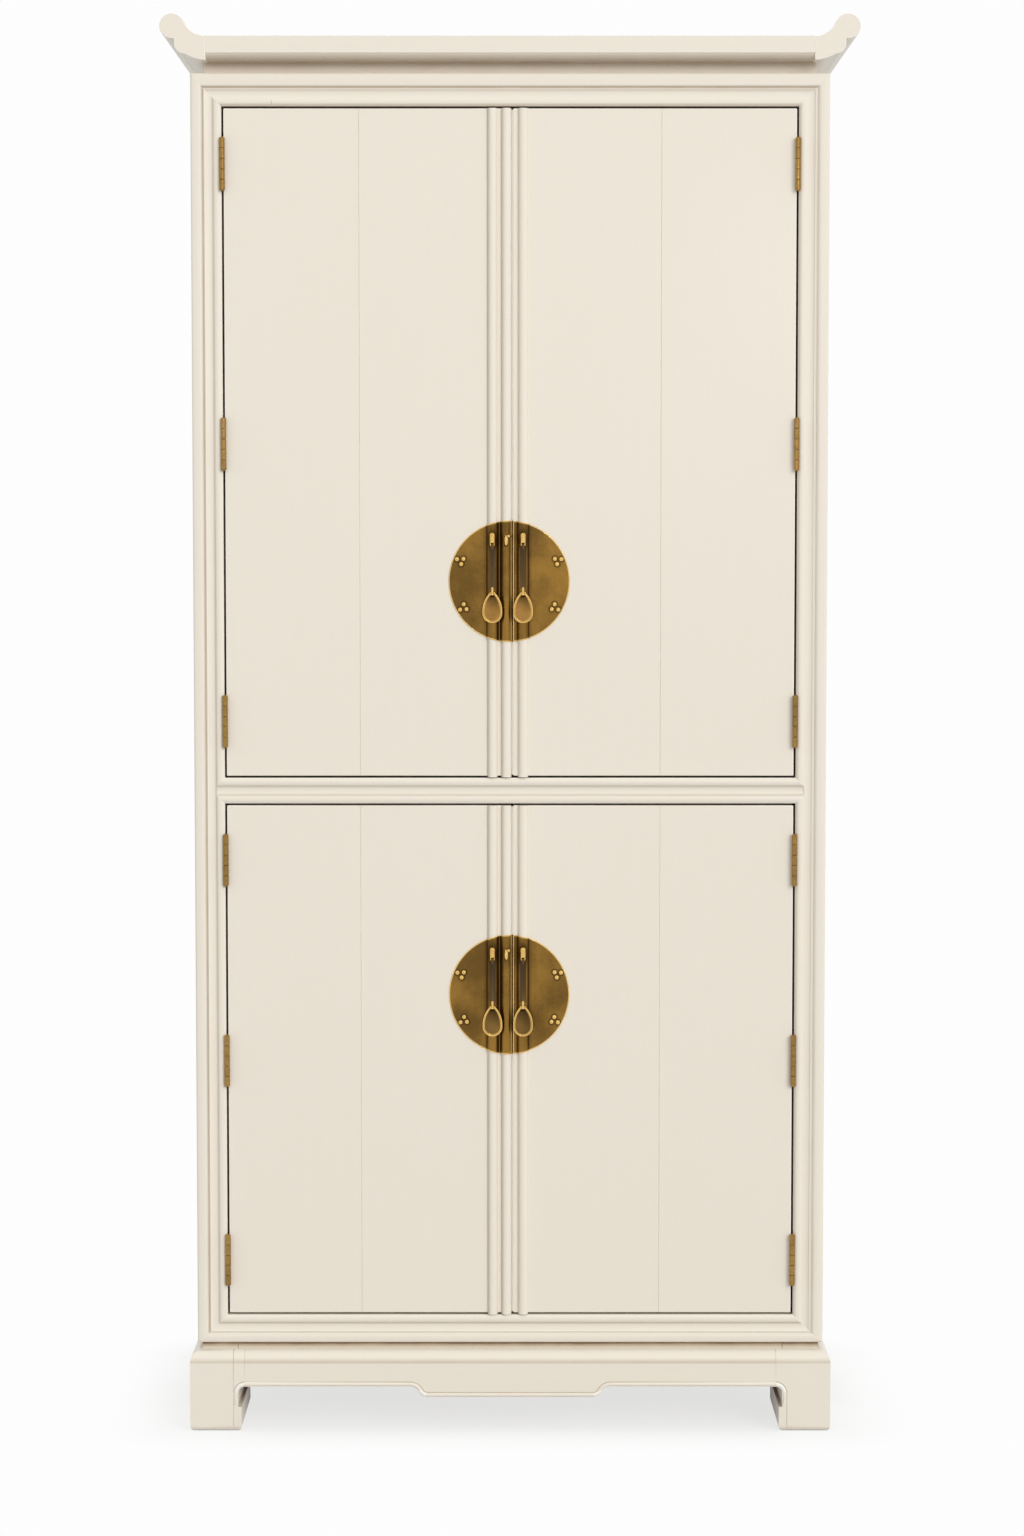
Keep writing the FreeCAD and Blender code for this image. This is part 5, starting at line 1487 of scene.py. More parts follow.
@dataclass
class HingeSet:
    """Brass butt hinges: leaves and pins on the carcass, leaves on each door."""

    rules: Rules
    length: float = 76.0
    knuckles: int = 5
    gap: float = 0.4
    radius: float = 4.0
    leaf: float = 1.3
    leaf_gap: float = 0.4
    leaf_width: float = 18.0
    relief: float = 0.3
    end_offset: float = 84.0
    standoff: float = 1.5
    button: float = 2.8
    button_height: float = 1.5
    screw_radius: float = 2.7
    screw_slot: float = 0.7
    screw_proud: float = 0.12
    screw_sunk: float = 0.3
    screw_places: tuple[Point2, ...] = ((-26.0, 11.0), (0.0, 6.0), (26.0, 11.0))
    shaft: float = 1.6
    shaft_sunk: float = 3.0
    lip: float = 0.5
    leaf_easing: float = 0.35
    tongue_start: float = 0.6
    tongue_lap: float = 0.2

    def build(self) -> None:
        """Make and fit every hinge."""
        frame_leaves, pins = [], []
        for side in Side:
            for tier in Tier:
                stem = f"{tier.value}_{side.word}"
                spots = self.places(stem, side)
                fixed = self.half(-side.value, 0)
                frame_leaves.append(self.rules.copies("frame_leaf_row", fixed, spots, HINGE_BRASS))
                pins.append(self.rules.copies("pin_row", self.pin(), spots, HINGE_BRASS))
                moving = self.half(side.value, 1)
                row = self.rules.copies(f"{stem}_hinge_halves", moving, spots, HINGE_BRASS)
                row.fit(f"{stem}_door_leaf", HINGE_BRASS, f"{stem}_hinge_leaves")
        joined("frame_hinge_halves", frame_leaves).fit(CARCASS, HINGE_BRASS, "frame_hinge_leaves")
        joined("hinge_pin_set", pins).fit(CARCASS, HINGE_BRASS, "hinge_pins")

    def places(self, stem: str, side: Side) -> list[Point3]:
        """Centres of a door's hinges on its axis."""
        door = Span.of(f"{stem}_door")
        gap = self.leaf + self.leaf_gap / 2
        x = side.value * (max(abs(door.left), abs(door.right)) + gap)
        y = door.front - self.standoff - self.radius
        clear = 2 * self.leaf + self.leaf_gap
        low, high = door.low - clear + self.end_offset, door.high + clear - self.end_offset
        return [(x, y, z) for z in (low, (low + high) / 2, high)]

    def _knuckle(self) -> float:
        """Length of one knuckle."""
        return (self.length - (self.knuckles - 1) * self.gap) / self.knuckles

    def half(self, inwards: int, first: int) -> Workpiece:
        """One leaf with its own knuckles and screws, its axis at the origin.

        Args:
            inwards: Sign of X from the leaf's seat towards the other leaf.
            first: 0 where the leaf has the end knuckles, 1 where it has those between.

        Returns:
            The half hinge.
        """
        near, far = -inwards * self.leaf_gap / 2, -inwards * (self.leaf_gap / 2 + self.leaf)
        left, right = sorted((near, far))
        front = self.radius + self.relief
        half = self.length / 2
        leaf = Span(left, right, front, front + self.leaf_width, -half, half)
        pieces = [board("leaf", leaf).ease(self.leaf_easing, 2)]
        for index in range(first, self.knuckles, 2):
            start = index * (self._knuckle() + self.gap) - half
            end = start + self._knuckle()
            pieces.append(self.barrel(start, end))
            tongue = Span(left, right, self.radius * self.tongue_start, front + self.tongue_lap, start, end)
            pieces.append(board("tongue", tongue).ease(self.tongue_lap, 1))
        pieces += self.screws(near, inwards, front)
        return joined("half_hinge", pieces)

    def barrel(self, start: float, end: float) -> Workpiece:
        """Knuckle between two levels, rounded at both ends."""
        radius, lip = self.radius, self.lip
        mouth = [(radius - lip, 0.0), (radius - lip * 0.3, lip * 0.3), (radius, lip)]
        profile = [(width, start + run) for width, run in mouth]
        profile += [(width, end - run) for width, run in reversed(mouth)]
        return turned("knuckle", profile, 2, ORIGIN, 36)

    def screws(self, face: float, outwards: int, front: float) -> list[Workpiece]:
        """Slotted screw heads, sunk almost flush in a leaf's open face."""
        heads = []
        for level, across in self.screw_places:
            for sign in (1, -1):
                cut = self.screw_slot / 2
                line = Line((cut, -math.sqrt(self.screw_radius ** 2 - cut ** 2)))
                line.bow((cut, -line.points[0][1]), -(self.screw_radius - cut), 12)
                outline = [(front + across + sign * y, level + z) for y, z in line.points]
                heads.append(prism("screw_half", outline, Plane.SIDE, face - outwards * self.screw_sunk,
                                   face + outwards * self.screw_proud))
        return heads

    def pin(self) -> Workpiece:
        """Button ends of a hinge pin."""
        half, shaft, head = self.length / 2, self.shaft, self.button
        dome = [(shaft, half - self.shaft_sunk), (shaft, half + 0.02), (head, half + 0.05),
                (head, half + 0.5), (head * 0.86, half + 0.95), (head * 0.5, half + 1.35),
                (0.0, half + self.button_height)]
        ends = [turned("button", [(radius, sign * run) for radius, run in dome], 2, ORIGIN, 28)
                for sign in (1, -1)]
        return joined("pin_ends", ends)


@dataclass
class DoorLeaf:
    """Door slab with its fine board joint, its half-round reeds and its strike."""

    tier: Tier
    side: Side
    seam: float = 222.0
    seam_width: float = 1.3
    seam_depth: float = 1.0
    reed_width: float = 15.0
    reed_sink: float = 0.4
    # Glaze and painted shade on the reeds' left flanks: strengths and reach
    reed_glaze: tuple[float, float, float] = (0.42, 0.4, 0.22)
    glaze_reach: float = 4.5
    lip_reach: float = 1.6
    lip_step: float = 0.45
    lip_back: float = 1.5
    lip_depth: float = 3.5
    lip_lap: float = 1.0
    reed_easing: float = 0.9
    trim_easing: float = 0.3
    easing: float = 1.6

    def __post_init__(self) -> None:
        """Read the door's own pieces."""
        self.stem = f"{self.tier.value}_{self.side.word}"
        self.body = f"{self.stem}_door_leaf"
        self.slab = Span.of(f"{self.stem}_door")
        self.reeds = Span.of(f"{self.stem}_reeds")

    def reed_middles(self) -> list[float]:
        """X of each reed, from the left."""
        half = self.reed_width / 2
        if self.side is Side.LEFT:
            return [self.reeds.left + half, self.reeds.right - half]
        return [self.reeds.left + half]

    def build(self) -> None:
        """Make and fit the slab, reeds and strike."""
        self.make_slab()
        self.make_reeds()
        self.make_lip()
        strike = node_copy(f"{self.stem}_strike_plate", f"{self.stem}_catch_strike")
        strike.ease(self.trim_easing, 2).fit(self.body, BRIGHT_STEEL, f"{self.stem}_catch_strike")

    def make_slab(self) -> None:
        """Slab with eased edges and a V line along its board joint."""
        piece = board(f"{self.stem}_door_slab", self.slab).ease(self.easing, 4)
        x, face, half = self.side.value * self.seam, self.slab.front, self.seam_width / 2
        mouth = half + PAST * half / self.seam_depth
        outline = [(x - mouth, face - PAST), (x + mouth, face - PAST), (x, face + self.seam_depth)]
        piece.cut(prism("seam", outline, Plane.PLAN, self.slab.low - PAST, self.slab.high + PAST))
        piece.fit(self.body, UPRIGHT_LACQUER, f"{self.stem}_door")

    def make_lip(self) -> None:
        """Narrow lip on the meeting edge, set back from the face, over and under the lock plate."""
        slab, plate = self.slab, Span.of(f"{self.stem}_lock_plate")
        left, right = slab.left - self.lip_reach, slab.left + self.lip_lap
        if self.side is Side.LEFT:
            left, right = slab.right - self.lip_lap, slab.right + self.lip_step
        back = slab.front + self.lip_back
        for low, high in ((slab.low + self.easing, plate.low), (plate.high, slab.high - self.easing)):
            room = Span(left, right, back, back + self.lip_depth, low, high)
            lip = board(f"{self.stem}_meeting_lip", room).ease(self.trim_easing, 2)
            lip.fit(self.body, UPRIGHT_LACQUER)

    def make_reeds(self) -> None:
        """Half-round strips with rounded ends."""
        rise = self.slab.front - self.reeds.front
        half, face, pieces = self.reed_width / 2, self.slab.front, []
        for middle in self.reed_middles():
            line = Line((middle - half, face + self.reed_sink)).to((middle - half, face))
            line.bow((middle + half, face), -rise, 24).to((middle + half, face + self.reed_sink))
            reed = prism("reed", line.points, Plane.PLAN, self.reeds.low, self.reeds.high)
            pieces.append(reed.ease(self.reed_easing))
        strips = joined(f"{self.stem}_reed_strips", pieces)
        made = strips.fit(self.body, UPRIGHT_LACQUER, f"{self.stem}_reeds")
        # Glaze and painted shade on the left flanks, away from the light
        strengths = self.reed_glaze[:2] if self.side is Side.LEFT else self.reed_glaze[2:]

        def foot_glaze(x: Row, y: Row, z: Row) -> Row:
            """Glazing and painted shade on the left flank of each reed, the side away from the light."""
            total = np.zeros_like(x)
            for middle, strength in zip(self.reed_middles(), strengths):
                past = x - middle + half
                share = strength * np.maximum(1 - past / self.glaze_reach, 0.0)
                total += np.where(past > -self.reed_sink, share, 0.0)
            return total
        mark(made.data, "hollow", foot_glaze)
        fade(made.data, "edge", lambda x, y, z: np.zeros_like(x))


@dataclass
class LockPlate:
    """Half of a round brass plate, dressed over the reeds, with its nails and staples."""

    rules: Rules
    door: DoorLeaf
    thickness: float = 1.2
    clearance: float = 0.15
    softness: float = 1.1
    columns: int = 170
    rows: int = 76
    first_column: float = 0.35
    dent: float = 0.08
    nail_radius: float = 3.4
    nail_height: float = 2.0
    nail_circle: float = 75.0
    rim_circle: float = 83.5
    nail_spread: float = math.radians(3.2)
    upper_angle: float = math.radians(23)
    lower_angle: float = math.radians(30)
    staple_low: float = 50.0
    staple_high: float = 72.0
    staple_half: float = 4.4
    slot_half: float = 2.1
    eye: float = 2.9
    play: float = 0.4
    lug: float = 3.5
    standoff: float = 1.3
    pin_radius: float = 1.2
    lock_ring: float = 6.5
    lock_wire: float = 3.1
    lock_rise: float = 60.0
    hook: float = 2.3
    rim: float = 0.8
    rim_inset: float = 0.5
    lip: float = 1.5
    lip_proud: float = 0.7
    lip_sunk: float = 0.4
    rim_steps: int = 160
    lock_steps: int = 20
    slot_past: float = 9.0
    pin_inset: float = 0.8
    plate_easing: float = 0.3
    staple_easing: float = 0.4

    def __post_init__(self) -> None:
        """Read the plate's place."""
        room = Span.of(f"{self.door.stem}_lock_plate")
        self.radius = (room.high - room.low) / 2
        self.middle = (room.low + room.high) / 2
        self.centre = room.left + self.radius if self.door.side is Side.LEFT else room.right - self.radius
        self.edge = room.right if self.door.side is Side.LEFT else room.left
        self.face = self.door.slab.front
        rise = self.face - self.door.reeds.front
        half = self.door.reed_width / 2
        self.reed_radius = (half ** 2 + rise ** 2) / (2 * rise)
        self.reed_sink = self.reed_radius - rise
        self.crest = self.door.reeds.front - self.clearance - self.thickness
        self.link_depth = self.crest - self.standoff - self.eye
        self.pull_x = self.door.reed_middles()[0]

    def rise(self, x: float) -> float:
        """Height of the plate's face over the door at an X."""
        ridge = self.reed_radius + self.clearance + self.thickness
        total = math.exp(self.thickness / self.softness)
        for middle in self.door.reed_middles():
            reach = ridge ** 2 - (x - middle) ** 2
            if reach > 0:
                total += math.exp((math.sqrt(reach) - self.reed_sink) / self.softness)
        return self.softness * math.log(total)

    def nail_spots(self) -> list[Point2]:
        """X and Z of the nail heads: two groups of three by the outer edge."""
        spots = []
        for angle, sign in ((self.upper_angle, 1), (self.lower_angle, -1)):
            for circle, bearing in ((self.nail_circle, angle - self.nail_spread),
                                    (self.nail_circle, angle + self.nail_spread), (self.rim_circle, angle)):
                spots.append((self.centre + self.door.side.value * circle * math.cos(bearing),
                              self.middle + sign * circle * math.sin(bearing)))
        return spots

    def build(self) -> None:
        """Make and fit the plate and what is fixed on it."""
        self.make_plate()
        self.make_rim()
        self.make_fixings()

    def make_rim(self) -> None:
        """Bright turned edge round the plate and along the meeting line."""
        radius = self.radius - self.rim_inset
        start = math.acos((self.edge - self.centre) / radius)
        sweep = 2 * (math.pi - start) if self.door.side is Side.LEFT else -2 * start
        path = []
        for step in range(self.rim_steps + 1):
            angle = start + sweep * step / self.rim_steps
            x = self.centre + radius * math.cos(angle)
            x = min(x, self.edge) if self.door.side is Side.LEFT else max(x, self.edge)
            y, z = self.face - self.rise(x) + self.rim_inset, self.middle + radius * math.sin(angle)
            path.append((x, y, z))
        rim = self.rules.bar("rim", path, self.rim, TRIM_BRASS, 10)
        reach = math.sqrt(radius ** 2 - (self.edge - self.centre) ** 2)
        x = self.edge + self.door.side.value * (self.lip - self.lip_proud)
        y = self.face - self.rise(self.edge) + self.lip * self.lip_sunk
        upright = [(x, y, z) for z in (self.middle - reach, self.middle, self.middle + reach)]
        lip = self.rules.bar("lip", upright, self.lip, TRIM_BRASS, 12)
        joined(f"{self.door.stem}_plate_rim", [rim, lip]).fit(self.door.body, TRIM_BRASS)

    def dent_at(self, x: float, z: float) -> float:
        """How far dressing has pushed the sheet in at a spot."""
        wave = math.sin(x * 0.21 + 1.3) * math.sin(z * 0.17 + x * 0.05)
        return max(wave, 0.0) * self.dent

    def make_plate(self) -> None:
        """Thin sheet over the reeds, slightly uneven from its dressing."""
        start = math.pi if self.door.side is Side.LEFT else 0.0
        end = math.acos((self.edge - self.centre) / self.radius)
        shape = bmesh.new()
        grid = []
        for column in range(self.columns + 1):
            angle = start + (end - start) * max(column, self.first_column) / self.columns
            x = self.centre + self.radius * math.cos(angle)
            reach = math.sqrt(max(self.radius ** 2 - (x - self.centre) ** 2, 0.0))
            rise = self.rise(x)
            line = []
            for row in range(self.rows + 1):
                z = self.middle + reach * (2 * row / self.rows - 1)
                line.append(shape.verts.new((x, self.face - rise + self.dent_at(x, z), z)))
            grid.append(line)
        for first, second in zip(grid, grid[1:]):
            for row in range(self.rows):
                shape.faces.new((first[row], second[row], second[row + 1], first[row + 1]))
        bmesh.ops.recalc_face_normals(shape, faces=shape.faces)
        shape.faces.ensure_lookup_table()
        if shape.faces[len(shape.faces) // 2].normal.y > 0:
            bmesh.ops.reverse_faces(shape, faces=shape.faces)
        piece = Workpiece(f"{self.door.stem}_moon_plate", shape)
        piece.shape("SOLIDIFY", thickness=self.thickness * MM, offset=-1.0, use_even_offset=True)
        piece.ease(self.plate_easing, 2)
        plate = piece.fit(self.door.body, PLATE_BRASS, f"{self.door.stem}_lock_plate")
        self.mark_grime(plate.data)

    def mark_grime(self, mesh: bpy.types.Mesh) -> None:
        """Mark patina round the nails and along the reeds' feet, and painted shade round the staple and
        behind the pendant's hole.
        """
        staple = self.middle + (self.staple_low + self.staple_high) / 2
        hole = Span.of(f"{self.door.stem}_pull_strap").low + self.eye

        def dirt(x: Row, y: Row, z: Row) -> Row:
            """Strength of the patina and painted shade."""
            # Painted shade round the staple
            total = np.clip(1.5 - np.hypot((x - self.pull_x) / 8.0, (z - staple) / 14.5), 0.0, 0.7)
            # Painted shade on the plate behind the pendant's hole
            behind = np.clip(1.6 - np.hypot(x - self.pull_x, z - hole) / 4.0, 0.0, 1.0)
            total = np.maximum(total, behind)
            # Patina round the nail heads
            for nail_x, nail_z in self.nail_spots():
                near = np.hypot(x - nail_x, z - nail_z) - self.nail_radius
                total = np.maximum(total, np.clip(1.0 - near / 3.0, 0.0, 1.0) * 0.8)
            # Patina along the reeds' feet
            for middle in self.door.reed_middles():
                foot = np.abs(np.abs(x - middle) - self.reed_radius - self.thickness)
                total = np.maximum(total, np.clip(1.0 - foot / 5.5, 0.0, 1.0) * 0.4)
            return total
        mark(mesh, "grime", dirt)

    def make_fixings(self) -> None:
        """Nail heads, the pull's staple and, on a left door, the lock staple."""
        radius, height = self.nail_radius, self.nail_height
        dome = [(radius * 0.9, 0.3), (radius, -0.1), (radius, -0.35), (radius * 0.93, -height * 0.45),
                (radius * 0.74, -height * 0.74), (radius * 0.42, -height * 0.94), (0.0, -height)]
        head = turned("nail", dome, 1, ORIGIN, 24)
        seats = [(x, self.face - self.thickness, z) for x, z in self.nail_spots()]
        nails = self.rules.copies("plate_nails", head, seats, TRIM_BRASS)
        pieces = [nails, self.staple(), self.staple_pin()]
        if self.door.side is Side.LEFT:
            pieces += [self.lock_staple(), self.lock_hook()]
        made = joined(f"{self.door.stem}_plate_trim", pieces).fit(
            self.door.body, TRIM_BRASS, f"{self.door.stem}_plate_fixings")
        # Painted shade in the middle of the staple
        middle = self.middle + (self.staple_low + self.staple_high) / 2
        mark(made.data, "grime", lambda x, y, z: 0.5 - np.hypot(x - self.pull_x, (z - middle) / 1.6) / 4.0)

    def staple(self) -> Workpiece:
        """Chunky staple with round ends, slotted for the strap's eye."""
        low, high = self.middle + self.staple_low, self.middle + self.staple_high
        depth = self.link_depth - self.lug + self.staple_half
        piece = capsule("staple", self.staple_half, (low, high), (self.pull_x, depth), 9, 36)
        top = low + self.lug + self.eye + self.play
        slot = Span(self.pull_x - self.slot_half, self.pull_x + self.slot_half,
                    depth - self.slot_past, depth + self.slot_past, low - PAST, top)
        return piece.cut(board("slot", slot)).ease(self.staple_easing, 2)

    def staple_pin(self) -> Workpiece:
        """Cross pin of the staple."""
        place = (self.pull_x, self.link_depth, self.middle + self.staple_low + self.lug)
        return cross_pin("staple_pin", self.pin_radius, self.staple_half - self.pin_inset, place)

    def lock_staple(self) -> Workpiece:
        """Half-ring on the inner reed, where a lock pin would pass."""
        x, z = self.door.reed_middles()[1], self.middle + self.lock_rise
        depth, ring = self.crest + self.thickness / 2, self.lock_ring
        arc = [math.pi * step / self.lock_steps for step in range(self.lock_steps + 1)]
        path = [(x, depth - ring * math.sin(angle), z + ring * math.cos(angle)) for angle in arc]
        return self.rules.bar("lock_staple", path, self.lock_wire, TRIM_BRASS, 18)

    def lock_hook(self) -> Workpiece:
        """Short bar from the meeting edge to the top of the lock staple."""
        y, z = self.crest - self.hook, self.middle + self.lock_rise + self.lock_ring
        path = [(x, y, z) for x in (self.door.reed_middles()[1] - self.hook, self.edge - self.hook * 1.5)]
        elbow = (self.edge - self.hook, y + self.hook, z)
        return self.rules.bar("lock_hook", [*path, elbow], self.hook, TRIM_BRASS, 14)


@dataclass
class DropPull:
    """Hanging pull: a dark strap with brass eyes and a drop-shaped pendant."""

    rules: Rules
    plate: LockPlate
    strap_width: float = 9.0
    strap_thickness: float = 2.4
    neck: float = 9.0
    neck_width: float = 4.0
    bail_drop: float = 1.7
    clear: float = 4.3
    drop_radius: float = 14.75
    hole: float = 3.76
    ear: float = 2.1
    flank_drop: float = 24.0
    peak: float = 4.6
    thickness: float = 4.0
    outer_rim: float = 1.05
    inner_rim: float = 0.65
    sheet: float = 1.4
    sheet_inset: float = 0.8
    sheet_easing: float = 0.3
    strap_easing: float = 0.7
    # Painted shade on the strap, strongest at its top
    strap_grime: float = 0.75
    eye_inset: float = 0.2
    eye_lap: float = 3.0
    bail_lap: float = 2.5
    link_proud: float = 0.4
    inner_lift: float = 1.3
    bore: float = 9.0

    def __post_init__(self) -> None:
        """Read the pull's place."""
        self.stem = self.plate.door.stem
        self.x = self.plate.pull_x
        self.depth = self.plate.link_depth
        strap = Span.of(f"{self.stem}_pull_strap")
        self.top, self.low = strap.high - self.plate.eye, strap.low + self.plate.eye
        self.tip = Span.of(f"{self.stem}_pull_pendant").low

    def build(self) -> None:
        """Make and fit the strap and the pendant."""
        self.make_strap()
        self.make_pendant()

    def make_strap(self) -> None:
        """Flat dark strap, and the bright links at its ends."""
        half, thick = self.strap_width / 2, self.strap_thickness / 2
        room = Span(self.x - half, self.x + half, self.depth - thick, self.depth + thick,
                    self.low + self.neck, self.top - self.clear)
        body = f"{self.stem}_strap"
        piece = board(f"{self.stem}_strap_bar", room).ease(self.strap_easing)
        bar = piece.fit(body, STRAP_METAL, f"{self.stem}_pull_strap")
        # Painted shade on the strap, darker towards the top under the staple
        mark(bar.data, "grime", rising(room, 0.0, self.strap_grime))
        eye_top = self.top + self.plate.eye - self.eye_inset
        self.link("eye", room.high - self.eye_lap, eye_top).fit(body, STRAP_METAL)
        self.link("bail", self.low - self.bail_drop, room.low + self.bail_lap).fit(body, TRIM_BRASS)

    def link(self, word: str, low: float, high: float) -> Workpiece:
        """Round-ended link between two levels, let into the strap's end."""
        centre = (self.x, self.depth - self.link_proud)
        return capsule(f"{self.stem}_strap_{word}", self.neck_width / 2, (low, high), centre, 6, 24)

    def drop_line(self, inset: float, peak: float) -> list[Point2]:
        """Drop outline, open at the top for the link; its flanks run upright into the round end.

        Args:
            inset: How far inside the drop's edge the line runs.
            peak: How far the drop's edge rises over its pivot.

        Returns:
            X and Z from the upper left, round the lower end, to the upper right.
        """
        radius = self.drop_radius - inset
        tip = (self.plate.slot_half + 0.2, self.low + peak - inset)
        head = (max(self.hole + self.ear - inset, tip[0]), self.low)
        side = (radius, self.low - self.flank_drop)
        flank = Vector(side) - Vector(head)
        rise = flank.length / 2 * math.tan(math.atan2(flank.x, -flank.y) / 2)
        level = self.tip + self.drop_radius
        line = Line((-tip[0], tip[1])).to((-head[0], head[1])).bow((-side[0], side[1]), -rise, 12)
        line.to((-radius, level)).bow((radius, level), -radius, 32)
        line.to(side).bow(head, -rise, 12).to(tip)
        return [(self.x + x, z) for x, z in line.points]

    def make_pendant(self) -> None:
        """Drop with a raised double rim, forked at the top round the strap's link."""
        front, rear = self.depth - self.thickness / 2, self.depth + self.thickness / 2
        skin = self.depth + self.sheet / 2
        lug = self.plate.lug
        pivot = (self.x, self.depth, self.low)
        sheet = prism("drop", self.drop_line(self.sheet_inset, lug), Plane.FRONT, skin - self.sheet, skin)
        bore = turned("drop_hole", [(self.hole, -self.bore), (self.hole, self.bore)], 1, pivot, 32)
        body = f"{self.stem}_pendant"
        finish = DROP_BRASS[self.plate.door.tier]
        made = sheet.cut(bore).ease(self.sheet_easing, 2).fit(body, finish, f"{self.stem}_pull_pendant")
        # Painted shade round the pendant's hole
        mark(made.data, "grime", lambda x, y, z: 1.5 - np.hypot(x - self.x, z - self.low) / self.hole * 0.7)
        inner = self.outer_rim * 2 + self.inner_rim
        pieces = [self.rim_bar(self.outer_rim, self.peak, self.outer_rim, front + self.outer_rim),
                  self.rim_bar(inner, self.peak, self.inner_rim, front + self.outer_rim * self.inner_lift),
                  self.rim_bar(self.outer_rim, lug, self.outer_rim, rear - self.outer_rim)]
        pieces.append(cross_pin("drop_pin", self.plate.pin_radius, self.hole + self.ear / 2, pivot))
        joined(f"{self.stem}_drop_rim", pieces).fit(body, TRIM_BRASS)

    def rim_bar(self, inset: float, peak: float, radius: float, depth: float) -> Workpiece:
        """Round bar along the drop's outline."""
        path = [Plane.FRONT.point(spot, depth) for spot in self.drop_line(inset, peak)]
        return self.rules.bar("drop_rim", path, radius, TRIM_BRASS, 16)


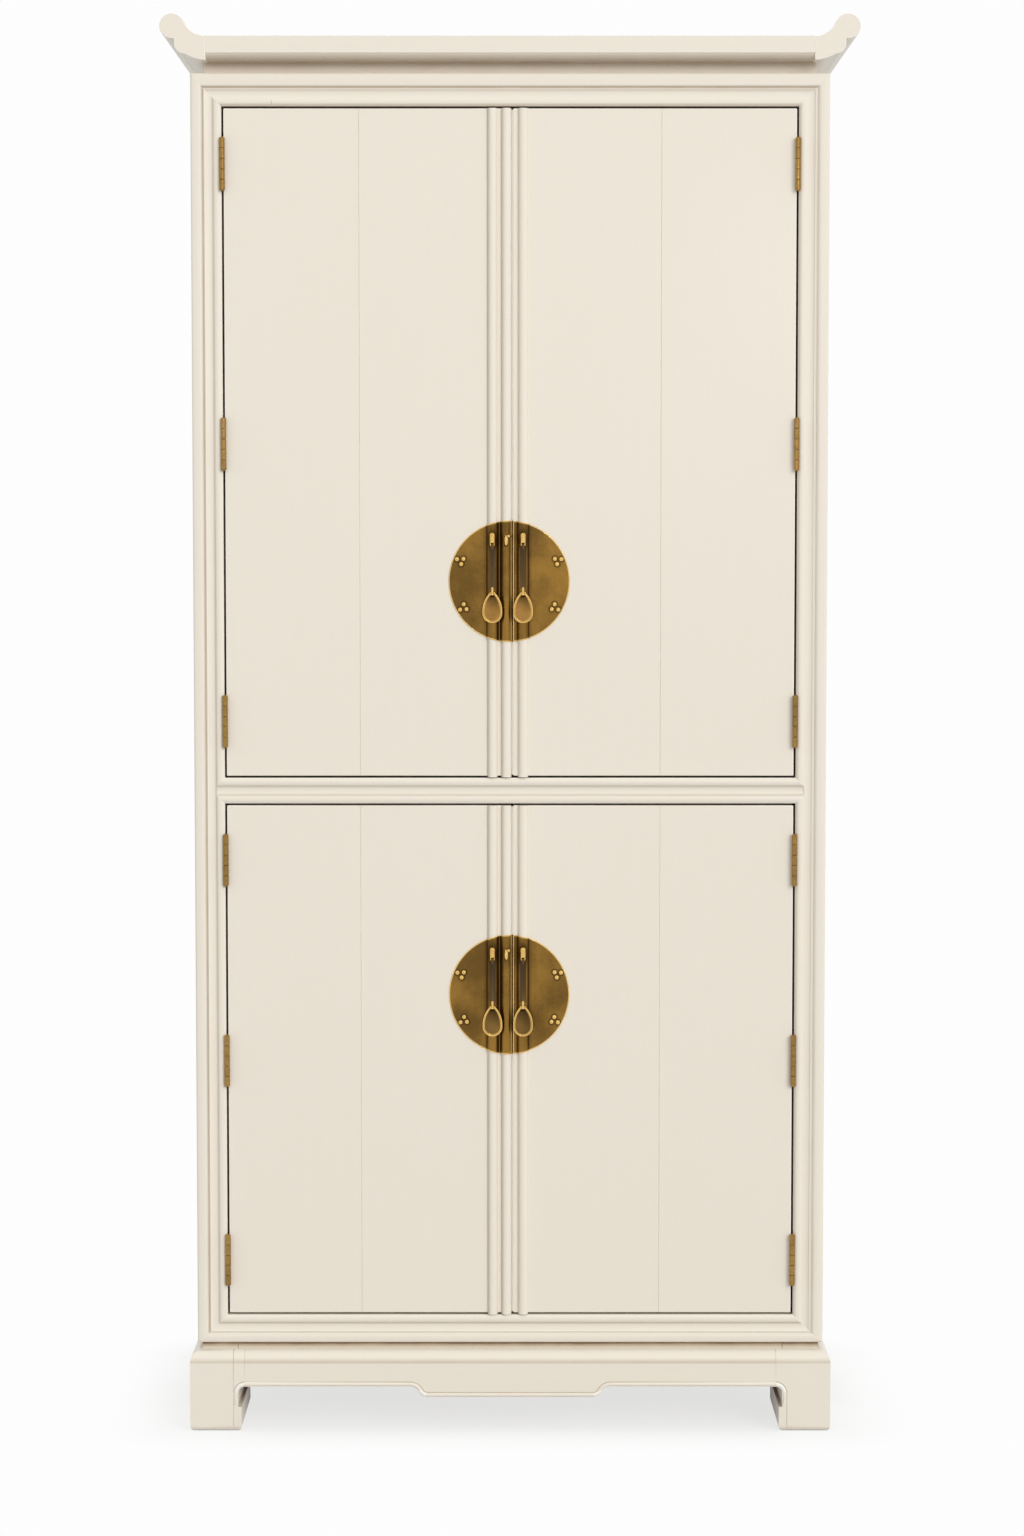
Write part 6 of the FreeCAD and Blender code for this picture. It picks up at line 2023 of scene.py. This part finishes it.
@dataclass(frozen=True)
class Studio:
    """White studio: floor, light and the camera of the front view."""

    white: float = 0.985
    sky_high: float = 0.76
    sky_low: float = 0.68
    floor_half: float = 4.5
    floor_bounce: float = 0.5
    footprint: Point2 = (0.46, 0.22)
    shadow_fade: float = 0.17
    shadow_share: float = 0.27
    sun_bearing: float = math.radians(33)
    sun_height: float = math.radians(20)
    sun_spread: float = math.radians(30)
    sun_power: float = 1.25
    sun_colour: Point3 = (1.0, 0.99, 0.975)
    sky_band: Point2 = (-0.2, 0.5)
    floor_paint: Colour = (0.92, 0.92, 0.92, 1.0)
    glint_place: Point3 = (0.7, -3.4, 1.95)
    glint_target: Point3 = (0.0, -0.2, 1.0)
    glint_size: float = 0.35
    glint_power: float = 6.0
    glint_colour: Point3 = (1.0, 0.98, 0.94)
    far_view: float = 200.0
    lens: float = 81.05
    sensor: float = 36.0
    camera: Point3 = (0.0027, -5.352, 1.345)
    pitch: float = math.radians(3.920)

    def build(self) -> None:
        """Set up the stage."""
        bpy.context.scene.view_settings.view_transform = "Standard"
        self.make_world()
        self.make_floor()
        self.make_camera()
        self.make_sun()
        self.make_glint()

    @staticmethod
    def seen(graph: Graph) -> Signal:
        """1 for rays that show the background: camera, glossy and transmission rays."""
        path = graph.node("ShaderNodeLightPath")
        rays = [Signal(graph, path.outputs[name])
                for name in ("Is Camera Ray", "Is Glossy Ray", "Is Transmission Ray")]
        return (rays[0] + rays[1] + rays[2]).at_most(1.0)

    def make_world(self) -> None:
        """White where it is seen, and soft light from above."""
        world = bpy.data.worlds.new("studio")
        world.use_nodes = True
        bpy.context.scene.world = world
        graph = Graph(world.node_tree)
        way = graph.node("ShaderNodeSeparateXYZ", None, {0: graph.signal("ShaderNodeTexCoord", "Generated")})
        height = graph.band(Signal(graph, way.outputs["Z"]), *self.sky_band)
        dome = self.sky_low + height * (self.sky_high - self.sky_low)
        strength = dome + self.seen(graph) * (self.white - dome)
        light = graph.signal("ShaderNodeBackground", 0, None, {"Color": WHITE, "Strength": strength})
        graph.node("ShaderNodeOutputWorld", None, {"Surface": light})

    def make_floor(self) -> None:
        """Floor that looks white, keeps the shadow under the cabinet and throws back a little light."""
        shape = bmesh.new()
        bmesh.ops.create_grid(shape, x_segments=1, y_segments=1, size=self.floor_half / MM)
        floor = Workpiece("studio_floor", shape).item
        made = bpy.data.materials.new("studio_floor_white")
        made.use_nodes = True
        graph = Graph(made.node_tree)
        paint = graph.signal("ShaderNodeBsdfDiffuse", 0, None, {"Color": self.floor_paint})
        dull = graph.signal("ShaderNodeBsdfDiffuse", 0, None, {"Color": (*[self.floor_bounce] * 3, 1.0)})
        glow = graph.signal("ShaderNodeEmission", 0, None, {"Color": WHITE, "Strength": self.white})
        spot = graph.node("ShaderNodeSeparateXYZ", None, {0: graph.signal("ShaderNodeTexCoord", "Object")})
        past = [(Signal(graph, spot.outputs[axis]).size() - reach).at_least(0.0)
                for axis, reach in zip("XY", self.footprint)]
        away = (past[0] ** 2.0 + past[1] ** 2.0) ** 0.5
        near = 1 - graph.band(away, 0.0, self.shadow_fade)
        shown = graph.signal("ShaderNodeMixShader", 0, None, {0: near * self.shadow_share, 1: glow, 2: paint})
        lit = graph.signal("ShaderNodeMixShader", 0, None, {0: self.seen(graph), 1: dull, 2: shown})
        graph.node("ShaderNodeOutputMaterial", None, {"Surface": lit})
        floor.data.materials.append(made)

    def make_camera(self) -> None:
        """Camera in front of the cabinet, tilted a little down."""
        lens = bpy.data.cameras.new("front_view")
        lens.lens = self.lens
        lens.sensor_width = self.sensor
        lens.clip_end = self.far_view
        view = bpy.data.objects.new("front_view", lens)
        view.location = self.camera
        view.rotation_euler = (math.pi / 2 - self.pitch, 0.0, 0.0)
        bpy.context.scene.collection.objects.link(view)
        bpy.context.scene.camera = view

    def make_sun(self) -> None:
        """Broad even light from the upper right."""
        sun = bpy.data.lights.new("key", "SUN")
        sun.energy = self.sun_power
        sun.angle = self.sun_spread
        sun.color = self.sun_colour
        item = bpy.data.objects.new("key", sun)
        item.rotation_euler = (math.pi / 2 - self.sun_height, 0.0, self.sun_bearing)
        item.visible_glossy = False
        bpy.context.scene.collection.objects.link(item)

    def make_glint(self) -> None:
        """Small square lamp turned to the cabinet, for highlights alone."""
        lamp = bpy.data.lights.new("glint", "AREA")
        lamp.size = self.glint_size
        lamp.energy = self.glint_power
        lamp.color = self.glint_colour
        item = bpy.data.objects.new("glint", lamp)
        item.location = self.glint_place
        way = Vector(self.glint_target) - Vector(self.glint_place)
        item.rotation_euler = way.to_track_quat("-Z", "Y").to_euler()
        item.visible_diffuse = False
        bpy.context.scene.collection.objects.link(item)


def main() -> None:
    """Build the cabinet's pieces around the frame."""
    logging.basicConfig(level=logging.INFO, format="%(name)s: %(message)s")
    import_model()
    rules = Rules()
    Studio().build()
    for assembly in (BracketBase(rules), FaceFrame(), CarcassBox(rules), ScrollTop(), HingeSet(rules)):
        assembly.build()
    for tier in Tier:
        for side in Side:
            door = DoorLeaf(tier, side)
            plate = LockPlate(rules, door)
            for assembly in (door, plate, DropPull(rules, plate)):
                assembly.build()


if __name__ == "__main__":
    main()
